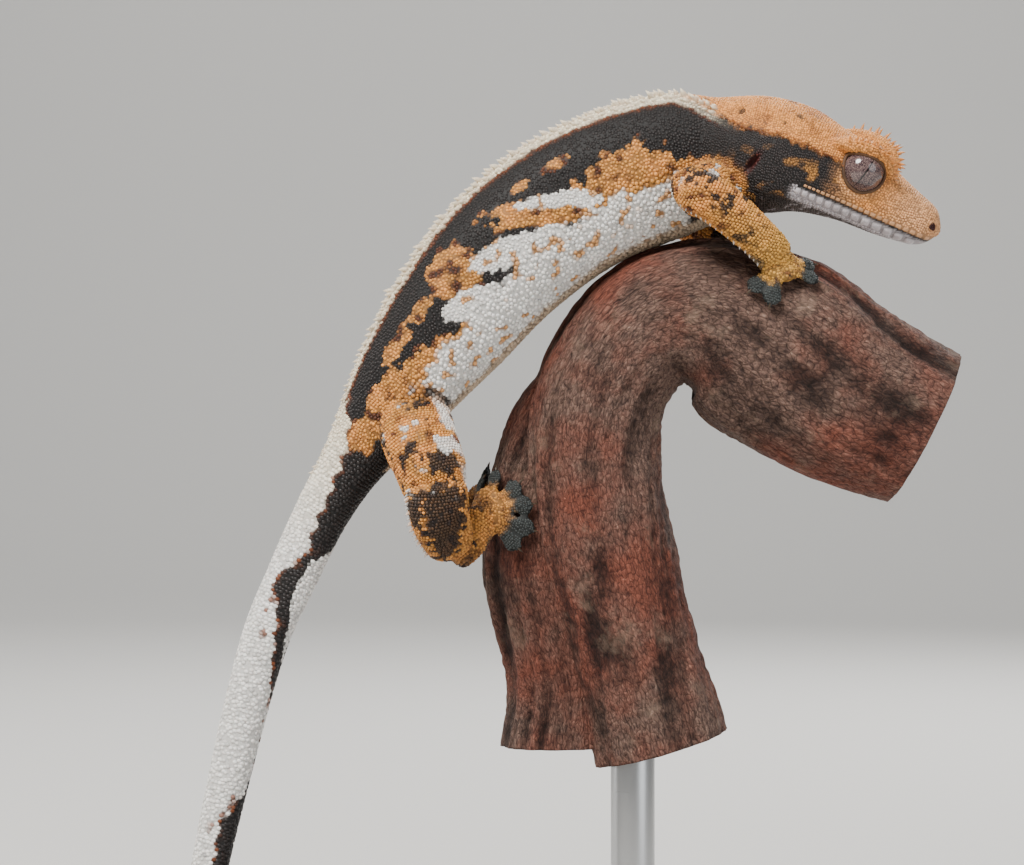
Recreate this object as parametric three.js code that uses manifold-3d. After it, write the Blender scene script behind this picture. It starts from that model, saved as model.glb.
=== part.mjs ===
// A crested gecko gripping a cut length of branch: a still, life-size display model.
// Millimetres. X runs towards the snout, Z is up, and the animal's right side faces -Y.
// The origin is the middle of the stand's underside.
import * as THREE from "three";
import { LoftGeometry } from "three/addons/geometries/LoftGeometry.js";
import { mergeVertices } from "three/addons/utils/BufferGeometryUtils.js";
import Module from "manifold-3d";

const wasm = await Module();
wasm.setup();

// Driving dimensions

const GAP = 0.3; // between pieces that meet
const EYE_RADIUS = 3.6;
const HEAD_POSE = { snout: [58.1, -6.5, 146.3], pitch: 21.5, yaw: 7, roll: 13 }; // degrees
const BASE = { length: 124, width: 84, thickness: 8, corner: 14 };
const ROD = { radius: 3.5, x: 10, y: 1, inBase: 5, inPerch: 12 };
const PERCH_FOOT = 64; // height of the branch's lower cut end
const CLAW = { radius: 0.42, length: 1.7 };
const SPINE_ROOT = 0.6; // how deep a spine is rooted
const BACK_CREST = { spacing: 2, angle: 26, nape: 52, radius: 0.65, height: 1.4, lean: 0.45 };
const HEAD_CREST = { count: 9, angle: 70, radius: 0.5, height: 0.55, lean: 0.4 };
const BROW_CREST = { count: 9, angle: 38, radius: 0.42, height: 1.15, lean: 0.1 };

// Stations of each swept form. Each is x, y, z, then half sizes: to the back, to the belly, to each side.

const TRUNK = [
  [36, -3.2, 156.6, 7.5, 7.5, 7.2],
  [30, -2.4, 157.4, 9.3, 9.3, 8.2],
  [23.5, -1.2, 157.2, 10.2, 10.2, 8.6],
  [15, 0, 156.1, 11.8, 11.6, 9.8],
  [1.5, 0, 150.9, 12, 11.9, 10.6],
  [-10, -0.5, 142.3, 11.8, 11.7, 11.2],
  [-18.8, -1.5, 131.8, 10.7, 10.6, 10.6],
  [-24.6, -2.5, 124, 9.2, 9.1, 9.2],
  [-29.2, -3, 117, 7.5, 7.6, 7.6],
  [-34.2, -3.4, 109.6, 5.3, 5.4, 5.6],
  [-38.9, -3.8, 101.8, 4.5, 4.6, 4.8],
  [-43.6, -4.6, 91.8, 4.2, 4.3, 4.4],
  [-48.4, -6, 79.9, 3.9, 3.9, 4.1],
  [-54, -8, 57, 3.4, 3.4, 3.5],
  [-57.6, -10, 38, 2.8, 2.8, 2.9],
  [-58.6, -11, 24, 2, 2, 2.5],
  [-57, -11.4, 14.5, 1.1, 1.1, 2.4],
];

// The head's own stations: distance behind the snout's tip, then heights of its top and underside, and half width.
const HEAD = [
  [0, 0.9, -3.2, 2.6],
  [2, 2.4, -4.4, 4],
  [5, 3.5, -4.9, 5],
  [9.5, 5.2, -5.2, 6.4],
  [15.5, 7.8, -5.2, 8],
  [20, 8.9, -5.6, 9.7],
  [25, 10.2, -6.9, 11.4],
  [29.5, 9.9, -8.4, 11.6],
  [34.5, 8.4, -9.2, 9.8],
  [40, 6.2, -8.6, 7.6],
];

const MAIN_STRAND = [
  [14.5, 0, PERCH_FOOT, 11, 11, 11],
  [9.6, 0, 81, 10.8, 10.8, 11],
  [5.8, 0, 97, 11.3, 10.8, 11],
  [3.8, 0, 111, 11, 10.8, 10.8],
  [5.7, 0, 122.3, 10.6, 10.6, 10.8],
  [11.8, 0, 131, 10.4, 11.8, 10.8],
  [21.4, 0, 133.4, 11.6, 14.5, 11.4],
  [32.5, 0, 128.6, 14.4, 17, 12.6],
  [44.4, 0, 120.8, 14, 15.5, 13],
  [56.3, 0, 115, 13, 13.5, 12.4],
];

const REAR_STRAND = [
  [-1.5, 4, PERCH_FOOT, 10, 10, 9],
  [-1.7, 4, 74, 8.6, 8.6, 8.4],
  [-4.4, 4, 84, 8.4, 8.4, 8],
  [-6.7, 4, 94, 7.9, 7.9, 7.8],
  [-5.8, 4, 103.3, 7.6, 7.6, 7.6],
  [-2.4, 4, 114.4, 7.6, 7.6, 7.6],
  [3.4, 3, 123.8, 7, 7, 7],
];

// Solids

const vector = (point) => new THREE.Vector3(...point);
const radians = THREE.MathUtils.degToRad;

function solid(geometry) {
  const bare = new THREE.BufferGeometry().setIndex(geometry.index);
  bare.setAttribute("position", geometry.attributes.position);
  const merged = mergeVertices(bare, 1e-4);
  return new wasm.Manifold(
    new wasm.Mesh({
      numProp: 3,
      vertProperties: merged.attributes.position.array,
      triVerts: new Uint32Array(merged.index.array),
    }),
  );
}

function join(...solids) {
  return solids.flat().reduce((all, next) => all.add(next));
}

function geometryOf(made) {
  const { numProp, numVert, vertProperties, triVerts } = made.getMesh();
  const places = new Float32Array(numVert * 3);
  for (let i = 0; i < numVert; i++) {
    places.set(vertProperties.subarray(i * numProp, i * numProp + 3), i * 3);
  }
  const geometry = new THREE.BufferGeometry();
  geometry.setAttribute("position", new THREE.BufferAttribute(places, 3));
  geometry.setIndex(new THREE.BufferAttribute(triVerts, 1));
  geometry.computeVertexNormals();
  return geometry;
}

// A form swept along a smooth line. back(along) gives the direction of its back.
// An angle of 0 is the middle of the back, and positive angles turn towards the side, back x along.
class Sweep {
  constructor(stations, { back, square = 1, taper = 0, blunt = [0, 0] }) {
    const curve = (points) => new THREE.CatmullRomCurve3(points, false, "catmullrom", 0.5);
    this.places = curve(stations.map((s) => new THREE.Vector3(s[0], s[1], s[2])));
    this.sizes = curve(stations.map((s) => new THREE.Vector3(s[3], s[4], s[5])));
    this.back = back;
    this.square = square;
    this.taper = taper;
    this.blunt = blunt;
  }

  frame(t) {
    const place = this.places.getPoint(t);
    const along = this.places.getTangent(t);
    const back = this.back(along, t).clone();
    back.addScaledVector(along, -back.dot(along)).normalize();
    const side = new THREE.Vector3().crossVectors(back, along);
    return { place, along, back, side };
  }

  // How far the section has drawn in towards a blunt end.
  drawnIn(t) {
    const [start, end] = this.blunt;
    const near = start && t < start ? t / start : end && t > 1 - end ? (1 - t) / end : 1;
    return Math.sqrt(Math.max(0, 1 - (1 - near) ** 2));
  }

  point(t, angle, lift = 0) {
    const { place, back, side } = this.frame(t);
    const size = this.sizes.getPoint(t);
    const drawn = this.drawnIn(t);
    const up = Math.cos(angle);
    const out = Math.sin(angle);
    const rise = Math.sign(up) * Math.abs(up) ** this.square;
    const reach = Math.sign(out) * Math.abs(out) ** this.square * (1 - this.taper * rise);
    const height = (up > 0 ? size.x : size.y) * drawn + lift;
    const width = size.z * drawn + lift;
    return place.addScaledVector(back, rise * height).addScaledVector(side, reach * width);
  }

  geometry({ around, rings, grow = 0, from = 0, to = 1 }) {
    const sections = [];
    for (let i = 0; i <= rings; i++) {
      const span = i / rings;
      const eased = this.blunt[0] || this.blunt[1] ? span - Math.sin(2 * Math.PI * span) / 14 : span;
      const t = THREE.MathUtils.clamp(from + (to - from) * eased, 0.002, 0.998);
      const ring = [];
      for (let j = 0; j < around; j++) {
        ring.push(this.point(t, (-j / around) * 2 * Math.PI, grow));
      }
      sections.push(ring);
    }
    return new LoftGeometry(sections, { capStart: true, capEnd: true });
  }

  solid(options) {
    return solid(this.geometry(options));
  }
}

function ball(centre, radii, axes = new THREE.Matrix4(), detail = [16, 10]) {
  const geometry = new THREE.SphereGeometry(1, ...detail).scale(...radii).applyMatrix4(axes);
  return solid(geometry.translate(...centre));
}

// A thin round plate square to a direction, used to part one node from the next.
function plate(centre, normal, radius) {
  const turn = new THREE.Quaternion().setFromUnitVectors(
    new THREE.Vector3(0, 1, 0),
    normal.clone().normalize(),
  );
  const geometry = new THREE.CylinderGeometry(radius, radius, GAP, 24).applyQuaternion(turn);
  return solid(geometry.translate(...centre));
}

function cone(root, direction, radius, length, sides = 5) {
  const turn = new THREE.Quaternion().setFromUnitVectors(
    new THREE.Vector3(0, 1, 0),
    direction.clone().normalize(),
  );
  const geometry = new THREE.ConeGeometry(radius, length, sides, 1).translate(0, length / 2, 0);
  return solid(geometry.applyQuaternion(turn).translate(...root));
}

// The same draws each time, so that the spines vary alike in every build.
function seededRandom(seed) {
  let state = seed;
  return () => {
    state = (state * 1103515245 + 12345) % 2147483648;
    return state / 2147483648;
  };
}

const random = seededRandom(7);

// One spine on a swept form, rooted in it and leaning along it.
function spine(form, t, angle, { radius, height, lean }, back = -1) {
  const root = form.point(t, angle, -SPINE_ROOT);
  const { place, along } = form.frame(t);
  const out = root.clone().sub(place).normalize();
  const size = 0.75 + 0.5 * random();
  const tilt = back * lean * (0.8 + 0.4 * random());
  return cone(root, out.addScaledVector(along, tilt), radius * size, SPINE_ROOT + height * size);
}

// Of the closed surfaces that a cut leaves, the one whose middle is nearest to a point.
function nearest(pieces, point) {
  const distance = (piece) => {
    const { min, max } = piece.boundingBox();
    return vector(min).add(vector(max)).multiplyScalar(0.5).distanceTo(vector(point));
  };
  const large = pieces.filter((piece) => piece.volume() > 20);
  return large.sort((a, b) => distance(a) - distance(b))[0];
}

function largest(made) {
  return made.decompose().sort((a, b) => b.volume() - a.volume())[0];
}

// Branch

const outerSide = (along) => new THREE.Vector3(-along.z, 0, along.x);
const mainStrand = new Sweep(MAIN_STRAND, { back: outerSide });
const rearStrand = new Sweep(REAR_STRAND, { back: outerSide });

function perchSolid(grow) {
  return join(
    mainStrand.solid({ around: 18, rings: 24, grow }),
    rearStrand.solid({ around: 14, rings: 14, grow }),
  );
}

const perchClear = perchSolid(GAP);

// Head and trunk

const headTurn = new THREE.Matrix4().makeRotationFromEuler(
  new THREE.Euler(radians(HEAD_POSE.roll), radians(HEAD_POSE.pitch), radians(-HEAD_POSE.yaw), "ZYX"),
);
const headPlace = headTurn.clone().setPosition(...HEAD_POSE.snout);

// A place on the head from its distance behind the snout, its height, and its distance to the animal's right.
function onHead(behind, height, right) {
  return new THREE.Vector3(-behind, -right, height).applyMatrix4(headPlace);
}

const headUp = new THREE.Vector3(0, 0, 1).applyMatrix4(headTurn);
const head = new Sweep(
  HEAD.map(([behind, top, under, wide]) => {
    const middle = (top + under) / 2;
    return [...onHead(behind, middle, 0), top - middle, middle - under, wide];
  }),
  { back: () => headUp, square: 0.8, taper: 0.15, blunt: [0.16, 0] },
);
const upper = (along) => new THREE.Vector3(along.z, 0, -along.x);
const trunk = new Sweep(TRUNK, { back: upper, square: 0.85, blunt: [0, 0.08] });

function bodySolid(grow) {
  return join(
    head.solid({ around: 24, rings: 24, grow }),
    trunk.solid({ around: 20, rings: 50, grow }),
  );
}

const bodyClear = bodySolid(GAP);

// Two rows of spines down the back, from the nape to the root of the tail, larger over the shoulders.
function backCrest(right) {
  const { spacing, angle, nape } = BACK_CREST;
  const spines = [];
  for (let run = 13; run < 92; run += spacing) {
    const t = trunk.places.getUtoTmapping(0, run);
    const fade = THREE.MathUtils.clamp((96 - run) / 40, 0.5, 1);
    const size = { ...BACK_CREST, radius: BACK_CREST.radius * fade, height: BACK_CREST.height * fade };
    const spread = THREE.MathUtils.lerp(nape, angle, THREE.MathUtils.smoothstep(run, 8, 26));
    spines.push(spine(trunk, t, radians(spread * right), size, 1));
  }
  return spines;
}

// A row of spines along each upper corner of the head, from behind the eye to the nape.
function headCrest(right) {
  const spines = [];
  for (let i = 0; i < HEAD_CREST.count; i++) {
    const t = THREE.MathUtils.lerp(0.56, 0.86, i / (HEAD_CREST.count - 1));
    spines.push(spine(head, t, radians(HEAD_CREST.angle * right), HEAD_CREST, 1));
  }
  return spines;
}

const EYE = { behind: 14.7, height: 4.3, right: 5.4 };
const eyePlace = (right) => onHead(EYE.behind, EYE.height, right * EYE.right);
const SIDES = { right: 1, left: -1 };

const brow = (right) =>
  new Sweep(
    [
      [...onHead(9.8, 4.2, right * 4.3), 0.8, 0.9, 1.2],
      [...onHead(11.7, 7.1, right * 5.3), 1.1, 1.4, 2],
      [...onHead(15.3, 8.1, right * 6), 1.3, 1.8, 2.6],
      [...onHead(21, 7, right * 6.2), 1.2, 1.6, 2],
    ],
    { back: () => headUp, blunt: [0.2, 0.2] },
  );

// The lash-like spines that stand along each brow.
function browCrest(right) {
  const spines = [];
  for (let i = 0; i < BROW_CREST.count; i++) {
    const t = THREE.MathUtils.lerp(0.14, 0.84, i / (BROW_CREST.count - 1));
    spines.push(spine(brow(right), t, radians(BROW_CREST.angle * right), BROW_CREST, -1));
  }
  return spines;
}

function withFace(made) {
  let face = made;
  for (const right of Object.values(SIDES)) {
    face = face.add(brow(right).solid({ around: 8, rings: 8 })).add(join(browCrest(right)));
    face = face.subtract(ball(eyePlace(right), Array(3).fill(EYE_RADIUS + GAP), undefined, [14, 10]));
    face = face.subtract(ball(onHead(1.3, -0.2, right * 2.9), [0.6, 0.9, 0.5], headTurn, [8, 6]));
    face = face.subtract(ball(onHead(30.6, -0.1, right * 11.2), [0.6, 1.6, 1.7], headTurn, [10, 8]));
  }
  return face;
}

// The line of the mouth: a thin slab that reaches a little way into the head.
const MOUTH = { behind: 22, height: -2.9, rise: 2.1, tall: 0.35, deep: 0.6 };

function mouthLine() {
  const slab = new THREE.BoxGeometry(MOUTH.behind + 6, 40, MOUTH.tall)
    .translate(-(MOUTH.behind - 6) / 2, 0, 0)
    .rotateY(Math.atan2(MOUTH.rise, MOUTH.behind))
    .translate(0, 0, MOUTH.height)
    .applyMatrix4(headPlace);
  return solid(slab).subtract(head.solid({ around: 16, rings: 14, grow: -MOUTH.deep }));
}

const crests = Object.values(SIDES).flatMap((right) => [...backCrest(right), ...headCrest(right)]);
const wholeBody = withFace(bodySolid(0).add(join(crests)))
  .subtract(mouthLine())
  .subtract(perchClear)
  .simplify(0.06);

function trunkCut(t, radius) {
  const { place, along } = trunk.frame(t);
  return plate(place, along, radius);
}

const neckDirection = new THREE.Vector3(1, 0, 0).applyMatrix4(headTurn);
const bodyPieces = wholeBody
  .subtract(
    join(
      plate(onHead(35, 0, 0), neckDirection, 20),
      trunkCut(2.7 / 16, 17),
      trunkCut(5.2 / 16, 17),
      trunkCut(7.4 / 16, 15),
      trunkCut(9.3 / 16, 10),
      trunkCut(11.6 / 16, 8),
      trunkCut(13.6 / 16, 7),
    ),
  )
  .decompose();

const BODY_NODES = {
  head: [47, -6, 154],
  neck: [24, -1, 157],
  chest: [9, 0, 153],
  belly: [-13, 0, 138],
  hips: [-28, -3, 118],
  tail_base: [-40, -4, 98],
  tail_middle: [-52, -7, 68],
  tail_tip: [-57, -10, 28],
};

// Limbs

// A limb's stations are places with a half thickness and a half width; the flat of the limb faces outwards.
function limb(stations, outward, blunt = [0.15, 0.15]) {
  const rows = stations.map(([x, y, z, thick, wide]) => [x, y, z, thick, thick, wide]);
  return new Sweep(rows, { back: () => vector(outward), blunt });
}

// A foot lies on a strand of the branch. Its toes run from the palm, each at its own bearing and length.
// Bearing 0 runs along the strand, and 90 turns round it towards the side.
function foot({ strand, at, turned, reach, palm, toes }) {
  const length = strand.places.getLength();
  const radius = strand.sizes.getPoint(at).x;
  const spot = (bearing, distance, lift) => {
    const t = at + (Math.cos(radians(bearing)) * distance) / length;
    const angle = radians(turned) + (Math.sin(radians(bearing)) * distance) / radius;
    return strand.point(t, angle, lift);
  };
  const centre = spot(0, 0, palm.thick + GAP);
  const outward = centre.clone().sub(strand.frame(at).place).normalize();
  const made = [];
  const sole = new THREE.Matrix4().lookAt(new THREE.Vector3(), outward, spot(palm.bearing, 3, 1.5).sub(centre));
  made.push(ball(centre, [palm.wide, palm.long, palm.thick * 1.15], sole, [10, 5]));
  for (const { bearing, size } of toes) {
    const long = reach * size;
    const bar = (share, lift, thick, wide) => [...spot(bearing, long * share, lift + GAP), thick, thick, wide];
    const line = new Sweep(
      [
        bar(0.1, 1.3, 1.2, 1.3),
        bar(0.38, 1.15, 0.95, 1.05),
        bar(0.62, 0.9, 0.75, 1.25),
        bar(0.84, 0.75, 0.65, 1.75),
        bar(1.04, 0.65, 0.5, 1.4),
      ],
      { back: () => outwardAt(strand, spot(bearing, long * 0.7, 0)), blunt: [0, 0.3] },
    );
    made.push(line.solid({ around: 6, rings: 5 }));
    const tip = line.point(0.93, 0);
    made.push(cone(tip, line.frame(1).along.clone().addScaledVector(outward, -0.1), CLAW.radius, CLAW.length));
  }
  return { centre, outward, solid: join(made) };
}

function outwardAt(strand, point) {
  let best = 0;
  let shortest = Infinity;
  for (let i = 0; i <= 200; i++) {
    const away = strand.places.getPoint(i / 200).distanceTo(point);
    if (away < shortest) {
      shortest = away;
      best = i / 200;
    }
  }
  return point.clone().sub(strand.places.getPoint(best)).normalize();
}

const HAND = {
  reach: 6.2,
  palm: { thick: 1.5, wide: 3.2, long: 3.6, bearing: 30 },
};
const FOOT = {
  reach: 6.6,
  palm: { thick: 1.6, wide: 3.1, long: 3.9, bearing: 30 },
};

const rightHand = foot({
  ...HAND,
  strand: mainStrand,
  at: 6.58 / 9,
  turned: -49,
  toes: [
    { bearing: 98, size: 0.9 },
    { bearing: 38, size: 0.95 },
    { bearing: 4, size: 1 },
    { bearing: -78, size: 1.05 },
    { bearing: -112, size: 0.95 },
  ],
});
const leftHand = foot({
  ...HAND,
  strand: mainStrand,
  at: 6.8 / 9,
  turned: 46,
  toes: [
    { bearing: -92, size: 0.9 },
    { bearing: -36, size: 0.95 },
    { bearing: 4, size: 1 },
    { bearing: 62, size: 1.05 },
    { bearing: 112, size: 0.95 },
  ],
});
const rightFoot = foot({
  ...FOOT,
  strand: rearStrand,
  at: 3.72 / 6,
  turned: -46,
  toes: [
    { bearing: 12, size: 0.9 },
    { bearing: -34, size: 0.9 },
    { bearing: -68, size: 0.95 },
    { bearing: -108, size: 1.05 },
    { bearing: -140, size: 1.1 },
  ],
});
const leftFoot = foot({
  ...FOOT,
  strand: rearStrand,
  at: 3.72 / 6,
  turned: 20,
  toes: [
    { bearing: -42, size: 0.9 },
    { bearing: -4, size: 0.9 },
    { bearing: 30, size: 0.95 },
    { bearing: 64, size: 1.05 },
    { bearing: 102, size: 1.1 },
  ],
});

const inFrom = (end, amount) => [...end.centre.clone().addScaledVector(end.outward, amount)];

const LIMBS = {
  foreleg_right: {
    names: ["upper_arm_right", "forearm_right", "hand_right"],
    joint: [17.4, -15.4, 149.6],
    upper: [
      [25, -5, 154, 3.8, 4.4],
      [21.5, -10.5, 152, 3.8, 4.4],
      [17.4, -15, 150, 3.4, 4.6],
    ],
    lower: [
      [16.6, -15.6, 152, 3, 3.7],
      [22.2, -15.2, 149.2, 3.1, 3.8],
      [28.2, -13.6, 144.4, 2.6, 3.4],
      [...inFrom(rightHand, 0.8), 1.9, 3.4],
    ],
    outward: [0, -1, 0.35],
    end: rightHand,
  },
  foreleg_left: {
    names: ["upper_arm_left", "forearm_left", "hand_left"],
    joint: [18.6, 15, 150.4],
    upper: [
      [26, 4.5, 154.5, 3.8, 4.4],
      [22.5, 10, 152.6, 3.8, 4.4],
      [18.6, 14.8, 150.6, 3.4, 4.4],
    ],
    lower: [
      [17.2, 15, 150.8, 3, 4],
      [22.4, 15, 147.8, 3, 4],
      [28.6, 13.2, 143.4, 2.6, 3.4],
      [...inFrom(leftHand, 0.8), 1.9, 3.2],
    ],
    outward: [0, 1, 0.35],
    end: leftHand,
  },
  hindleg_right: {
    names: ["thigh_right", "shin_right", "foot_right"],
    joint: [-20.2, -16.2, 105],
    upper: [
      [-25.4, -5, 119.5, 4.2, 6],
      [-23.4, -11, 112.6, 4.3, 6],
      [-20.2, -15.6, 105.4, 3.6, 5.2],
    ],
    lower: [
      [-20.8, -16, 107, 3.2, 4.6],
      [-20.2, -14.2, 101, 3.2, 4.8],
      [-18, -9, 95, 2.6, 3.6],
    ],
    instep: [
      [-18.4, -8.8, 94.6, 2, 2.8],
      [-15.8, -6.4, 97, 2, 3],
      [...inFrom(rightFoot, 0.6), 1.8, 2.9],
    ],
    outward: [0.2, -1, -0.2],
    end: rightFoot,
  },
  hindleg_left: {
    names: ["thigh_left", "shin_left", "foot_left"],
    joint: [-20.8, 18.6, 104.6],
    upper: [
      [-26, 2, 119, 4.2, 5.8],
      [-24, 10.4, 112.2, 4.2, 5.6],
      [-20.8, 18, 105.2, 3.5, 4.9],
    ],
    lower: [
      [-21.2, 18.6, 106.4, 3.2, 4.4],
      [-21, 17, 100.4, 3.2, 4.6],
      [-19.4, 12.4, 95, 2.6, 3.5],
    ],
    instep: [
      [-19.6, 12.2, 94.7, 2, 2.8],
      [-17.6, 9.6, 96.8, 2, 3],
      [...inFrom(leftFoot, 0.6), 1.8, 2.8],
    ],
    outward: [0.2, 1, -0.2],
    end: leftFoot,
  },
};

function limbPieces({ names, joint, upper: top, lower, instep, outward, end }) {
  const upperPart = limb(top, outward).solid({ around: 12, rings: 8 });
  const lowerPart = limb(lower, outward).solid({ around: 12, rings: 10 });
  const last = instep ?? lower;
  const parts = [upperPart, lowerPart, end.solid];
  if (instep) parts.push(limb(instep, outward).solid({ around: 10, rings: 6 }));
  const all = join(parts).subtract(perchClear).subtract(bodyClear).simplify(0.06);
  const wrist = vector(inFrom(end, 0.8)).lerp(vector(last[last.length - 2]), instep ? 0.8 : 0.42);
  const shin = vector(last[last.length - 2]).sub(vector(inFrom(end, 0.8)));
  const kneeAcross = vector(top[1]).sub(vector(joint)).normalize();
  const kneeAlong = vector(lower[2]).sub(vector(joint)).normalize();
  const cut = join(
    plate(joint, kneeAcross.sub(kneeAlong), 9),
    plate([...wrist], shin, 6),
  );
  const pieces = all.subtract(cut).decompose();
  const middles = [top[1], lower[1], [...end.centre]];
  return names.map((name, i) => [name, nearest(pieces, middles[i])]);
}

// Stand

function baseSolid() {
  const { length, width, thickness, corner } = BASE;
  const outline = new THREE.Shape();
  outline.moveTo(-length / 2 + corner, -width / 2);
  outline.lineTo(length / 2 - corner, -width / 2);
  outline.absarc(length / 2 - corner, -width / 2 + corner, corner, -Math.PI / 2, 0);
  outline.lineTo(length / 2, width / 2 - corner);
  outline.absarc(length / 2 - corner, width / 2 - corner, corner, 0, Math.PI / 2);
  outline.lineTo(-length / 2 + corner, width / 2);
  outline.absarc(-length / 2 + corner, width / 2 - corner, corner, Math.PI / 2, Math.PI);
  outline.lineTo(-length / 2, -width / 2 + corner);
  outline.absarc(-length / 2 + corner, -width / 2 + corner, corner, Math.PI, 1.5 * Math.PI);
  const slab = new THREE.ExtrudeGeometry(outline, {
    depth: thickness - 1,
    curveSegments: 4,
    bevelEnabled: true,
    bevelSegments: 1,
    bevelThickness: 0.5,
    bevelSize: 0.5,
    bevelOffset: -0.5,
  }).translate(0, 0, 0.5);
  return solid(slab).subtract(rodSolid(ROD.radius + GAP, thickness - ROD.inBase, PERCH_FOOT));
}

function rodSolid(radius, bottom, top) {
  const geometry = new THREE.CylinderGeometry(radius, radius, top - bottom, 20);
  return solid(geometry.rotateX(Math.PI / 2).translate(ROD.x, ROD.y, (top + bottom) / 2));
}

// The whole model

const MATERIALS = {
  skin: { color: 0xb98a55, roughness: 0.75 },
  tail: { color: 0xe8e4d8, roughness: 0.7 },
  foot: { color: 0x4a4c48, roughness: 0.8 },
  eye: { color: 0x6b6066, roughness: 0.1 },
  wood: { color: 0x7a5548, roughness: 0.85 },
  base: { color: 0x3b2a20, roughness: 0.5 },
  steel: { color: 0xb8bcc0, roughness: 0.3, metalness: 1 },
};

const gecko = new THREE.Group();

function place(name, made, material) {
  const mesh = new THREE.Mesh(geometryOf(made), new THREE.MeshStandardMaterial(MATERIALS[material]));
  mesh.name = name;
  gecko.add(mesh);
}

for (const [name, point] of Object.entries(BODY_NODES)) {
  place(name, nearest(bodyPieces, point), name.startsWith("tail") ? "tail" : "skin");
}
for (const [side, right] of Object.entries(SIDES)) {
  place(`eye_${side}`, ball(eyePlace(right), Array(3).fill(EYE_RADIUS), undefined, [14, 9]), "eye");
}
for (const parts of Object.values(LIMBS)) {
  for (const [name, made] of limbPieces(parts)) {
    place(name, made, name.startsWith("foot") || name.startsWith("hand") ? "foot" : "skin");
  }
}
const socket = rodSolid(ROD.radius + GAP, PERCH_FOOT - 8, PERCH_FOOT + ROD.inPerch + GAP);
place("perch", largest(perchSolid(0).subtract(socket)), "wood");
place("stand_base", baseSolid(), "base");
place("stand_rod", rodSolid(ROD.radius, BASE.thickness - ROD.inBase + GAP, PERCH_FOOT + ROD.inPerch), "steel");

export default gecko;
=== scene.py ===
# %% [markdown]
# # A crested gecko on a cut branch
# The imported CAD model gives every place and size. This script dresses it: one skin over the flesh,
# tens of thousands of small domed scales, crests of spines, glossy eyes, clawed toes, a weathered
# branch and a plain stand. Lengths are worked out in millimetres and turned to metres when a mesh is made.

import math

import bmesh
import bpy
import numpy as np
from mathutils import Matrix, Vector, noise
from mathutils.bvhtree import BVHTree
from mathutils.kdtree import KDTree


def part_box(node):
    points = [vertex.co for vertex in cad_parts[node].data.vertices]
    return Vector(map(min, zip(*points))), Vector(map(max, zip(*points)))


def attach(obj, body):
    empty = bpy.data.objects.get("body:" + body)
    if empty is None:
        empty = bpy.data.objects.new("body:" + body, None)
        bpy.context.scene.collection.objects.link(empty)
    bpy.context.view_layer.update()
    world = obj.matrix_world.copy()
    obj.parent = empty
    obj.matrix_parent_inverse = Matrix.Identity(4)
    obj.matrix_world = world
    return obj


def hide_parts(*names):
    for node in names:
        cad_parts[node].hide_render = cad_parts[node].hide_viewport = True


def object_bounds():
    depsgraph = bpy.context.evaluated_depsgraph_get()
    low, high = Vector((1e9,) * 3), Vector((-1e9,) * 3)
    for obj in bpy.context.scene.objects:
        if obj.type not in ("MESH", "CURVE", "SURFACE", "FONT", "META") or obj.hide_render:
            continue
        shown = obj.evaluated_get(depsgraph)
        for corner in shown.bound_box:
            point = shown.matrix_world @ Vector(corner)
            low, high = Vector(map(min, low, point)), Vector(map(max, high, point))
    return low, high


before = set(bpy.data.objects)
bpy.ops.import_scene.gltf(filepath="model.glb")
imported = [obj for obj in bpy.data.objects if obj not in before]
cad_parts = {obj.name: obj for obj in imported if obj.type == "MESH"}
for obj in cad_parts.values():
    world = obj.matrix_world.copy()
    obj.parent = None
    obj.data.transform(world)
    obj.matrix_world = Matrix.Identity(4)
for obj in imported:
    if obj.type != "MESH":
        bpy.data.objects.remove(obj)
cad_box = [list(corner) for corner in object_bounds()]
MM = 0.001
SEED = 11
rng = np.random.default_rng(SEED)
print("CAD box in metres:", cad_box)

# %% [markdown]
# ## Small helpers
# A mesh made of many thousand faces is filled in from arrays, as that is far quicker than adding one
# face at a time. Colours are written as the sRGB hex that a colour picker shows, and turned to the
# linear values that Blender mixes. The unwrap that set_uv gives a mesh is named OFBake.

# %% Helpers for colours and meshes
def linear(hex_colour):
    """The linear red, green and blue of an sRGB hex colour such as "e0a060"."""
    parts = np.array([int(hex_colour[i : i + 2], 16) / 255 for i in (0, 2, 4)])
    return np.where(parts <= 0.04045, parts / 12.92, ((parts + 0.055) / 1.055) ** 2.4)


def nothing_selected():
    for thing in bpy.context.selected_objects:
        thing.select_set(False)


def only_selected(piece):
    """Leaves one object selected and active, as most operators act on all that is selected."""
    nothing_selected()
    piece.select_set(True)
    bpy.context.view_layer.objects.active = piece


def mesh_piece(name, points, faces):
    """A smooth object from points in mm and faces that all have the same number of corners."""
    points = np.asarray(points, dtype=np.float32) * MM
    faces = np.asarray(faces, dtype=np.int32)
    corners = faces.shape[1]
    mesh = bpy.data.meshes.new(name)
    mesh.vertices.add(len(points))
    mesh.vertices.foreach_set("co", points.ravel())
    mesh.loops.add(faces.size)
    mesh.loops.foreach_set("vertex_index", faces.ravel())
    mesh.polygons.add(len(faces))
    mesh.polygons.foreach_set("loop_start", np.arange(0, faces.size, corners, dtype=np.int32))
    mesh.update(calc_edges=True)
    mesh.polygons.foreach_set("use_smooth", np.full(len(faces), True))
    mesh.validate()
    piece = bpy.data.objects.new(name, mesh)
    bpy.context.scene.collection.objects.link(piece)
    return piece


def set_colours(piece, colours, name="markings_and_shade"):
    """Gives each point of a mesh its own colour."""
    layer = piece.data.color_attributes.new(name, "FLOAT_COLOR", "POINT")
    rgba = np.ones((len(piece.data.vertices), 4), dtype=np.float32)
    rgba[:, :3] = colours
    layer.data.foreach_set("color", rgba.ravel())


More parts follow.
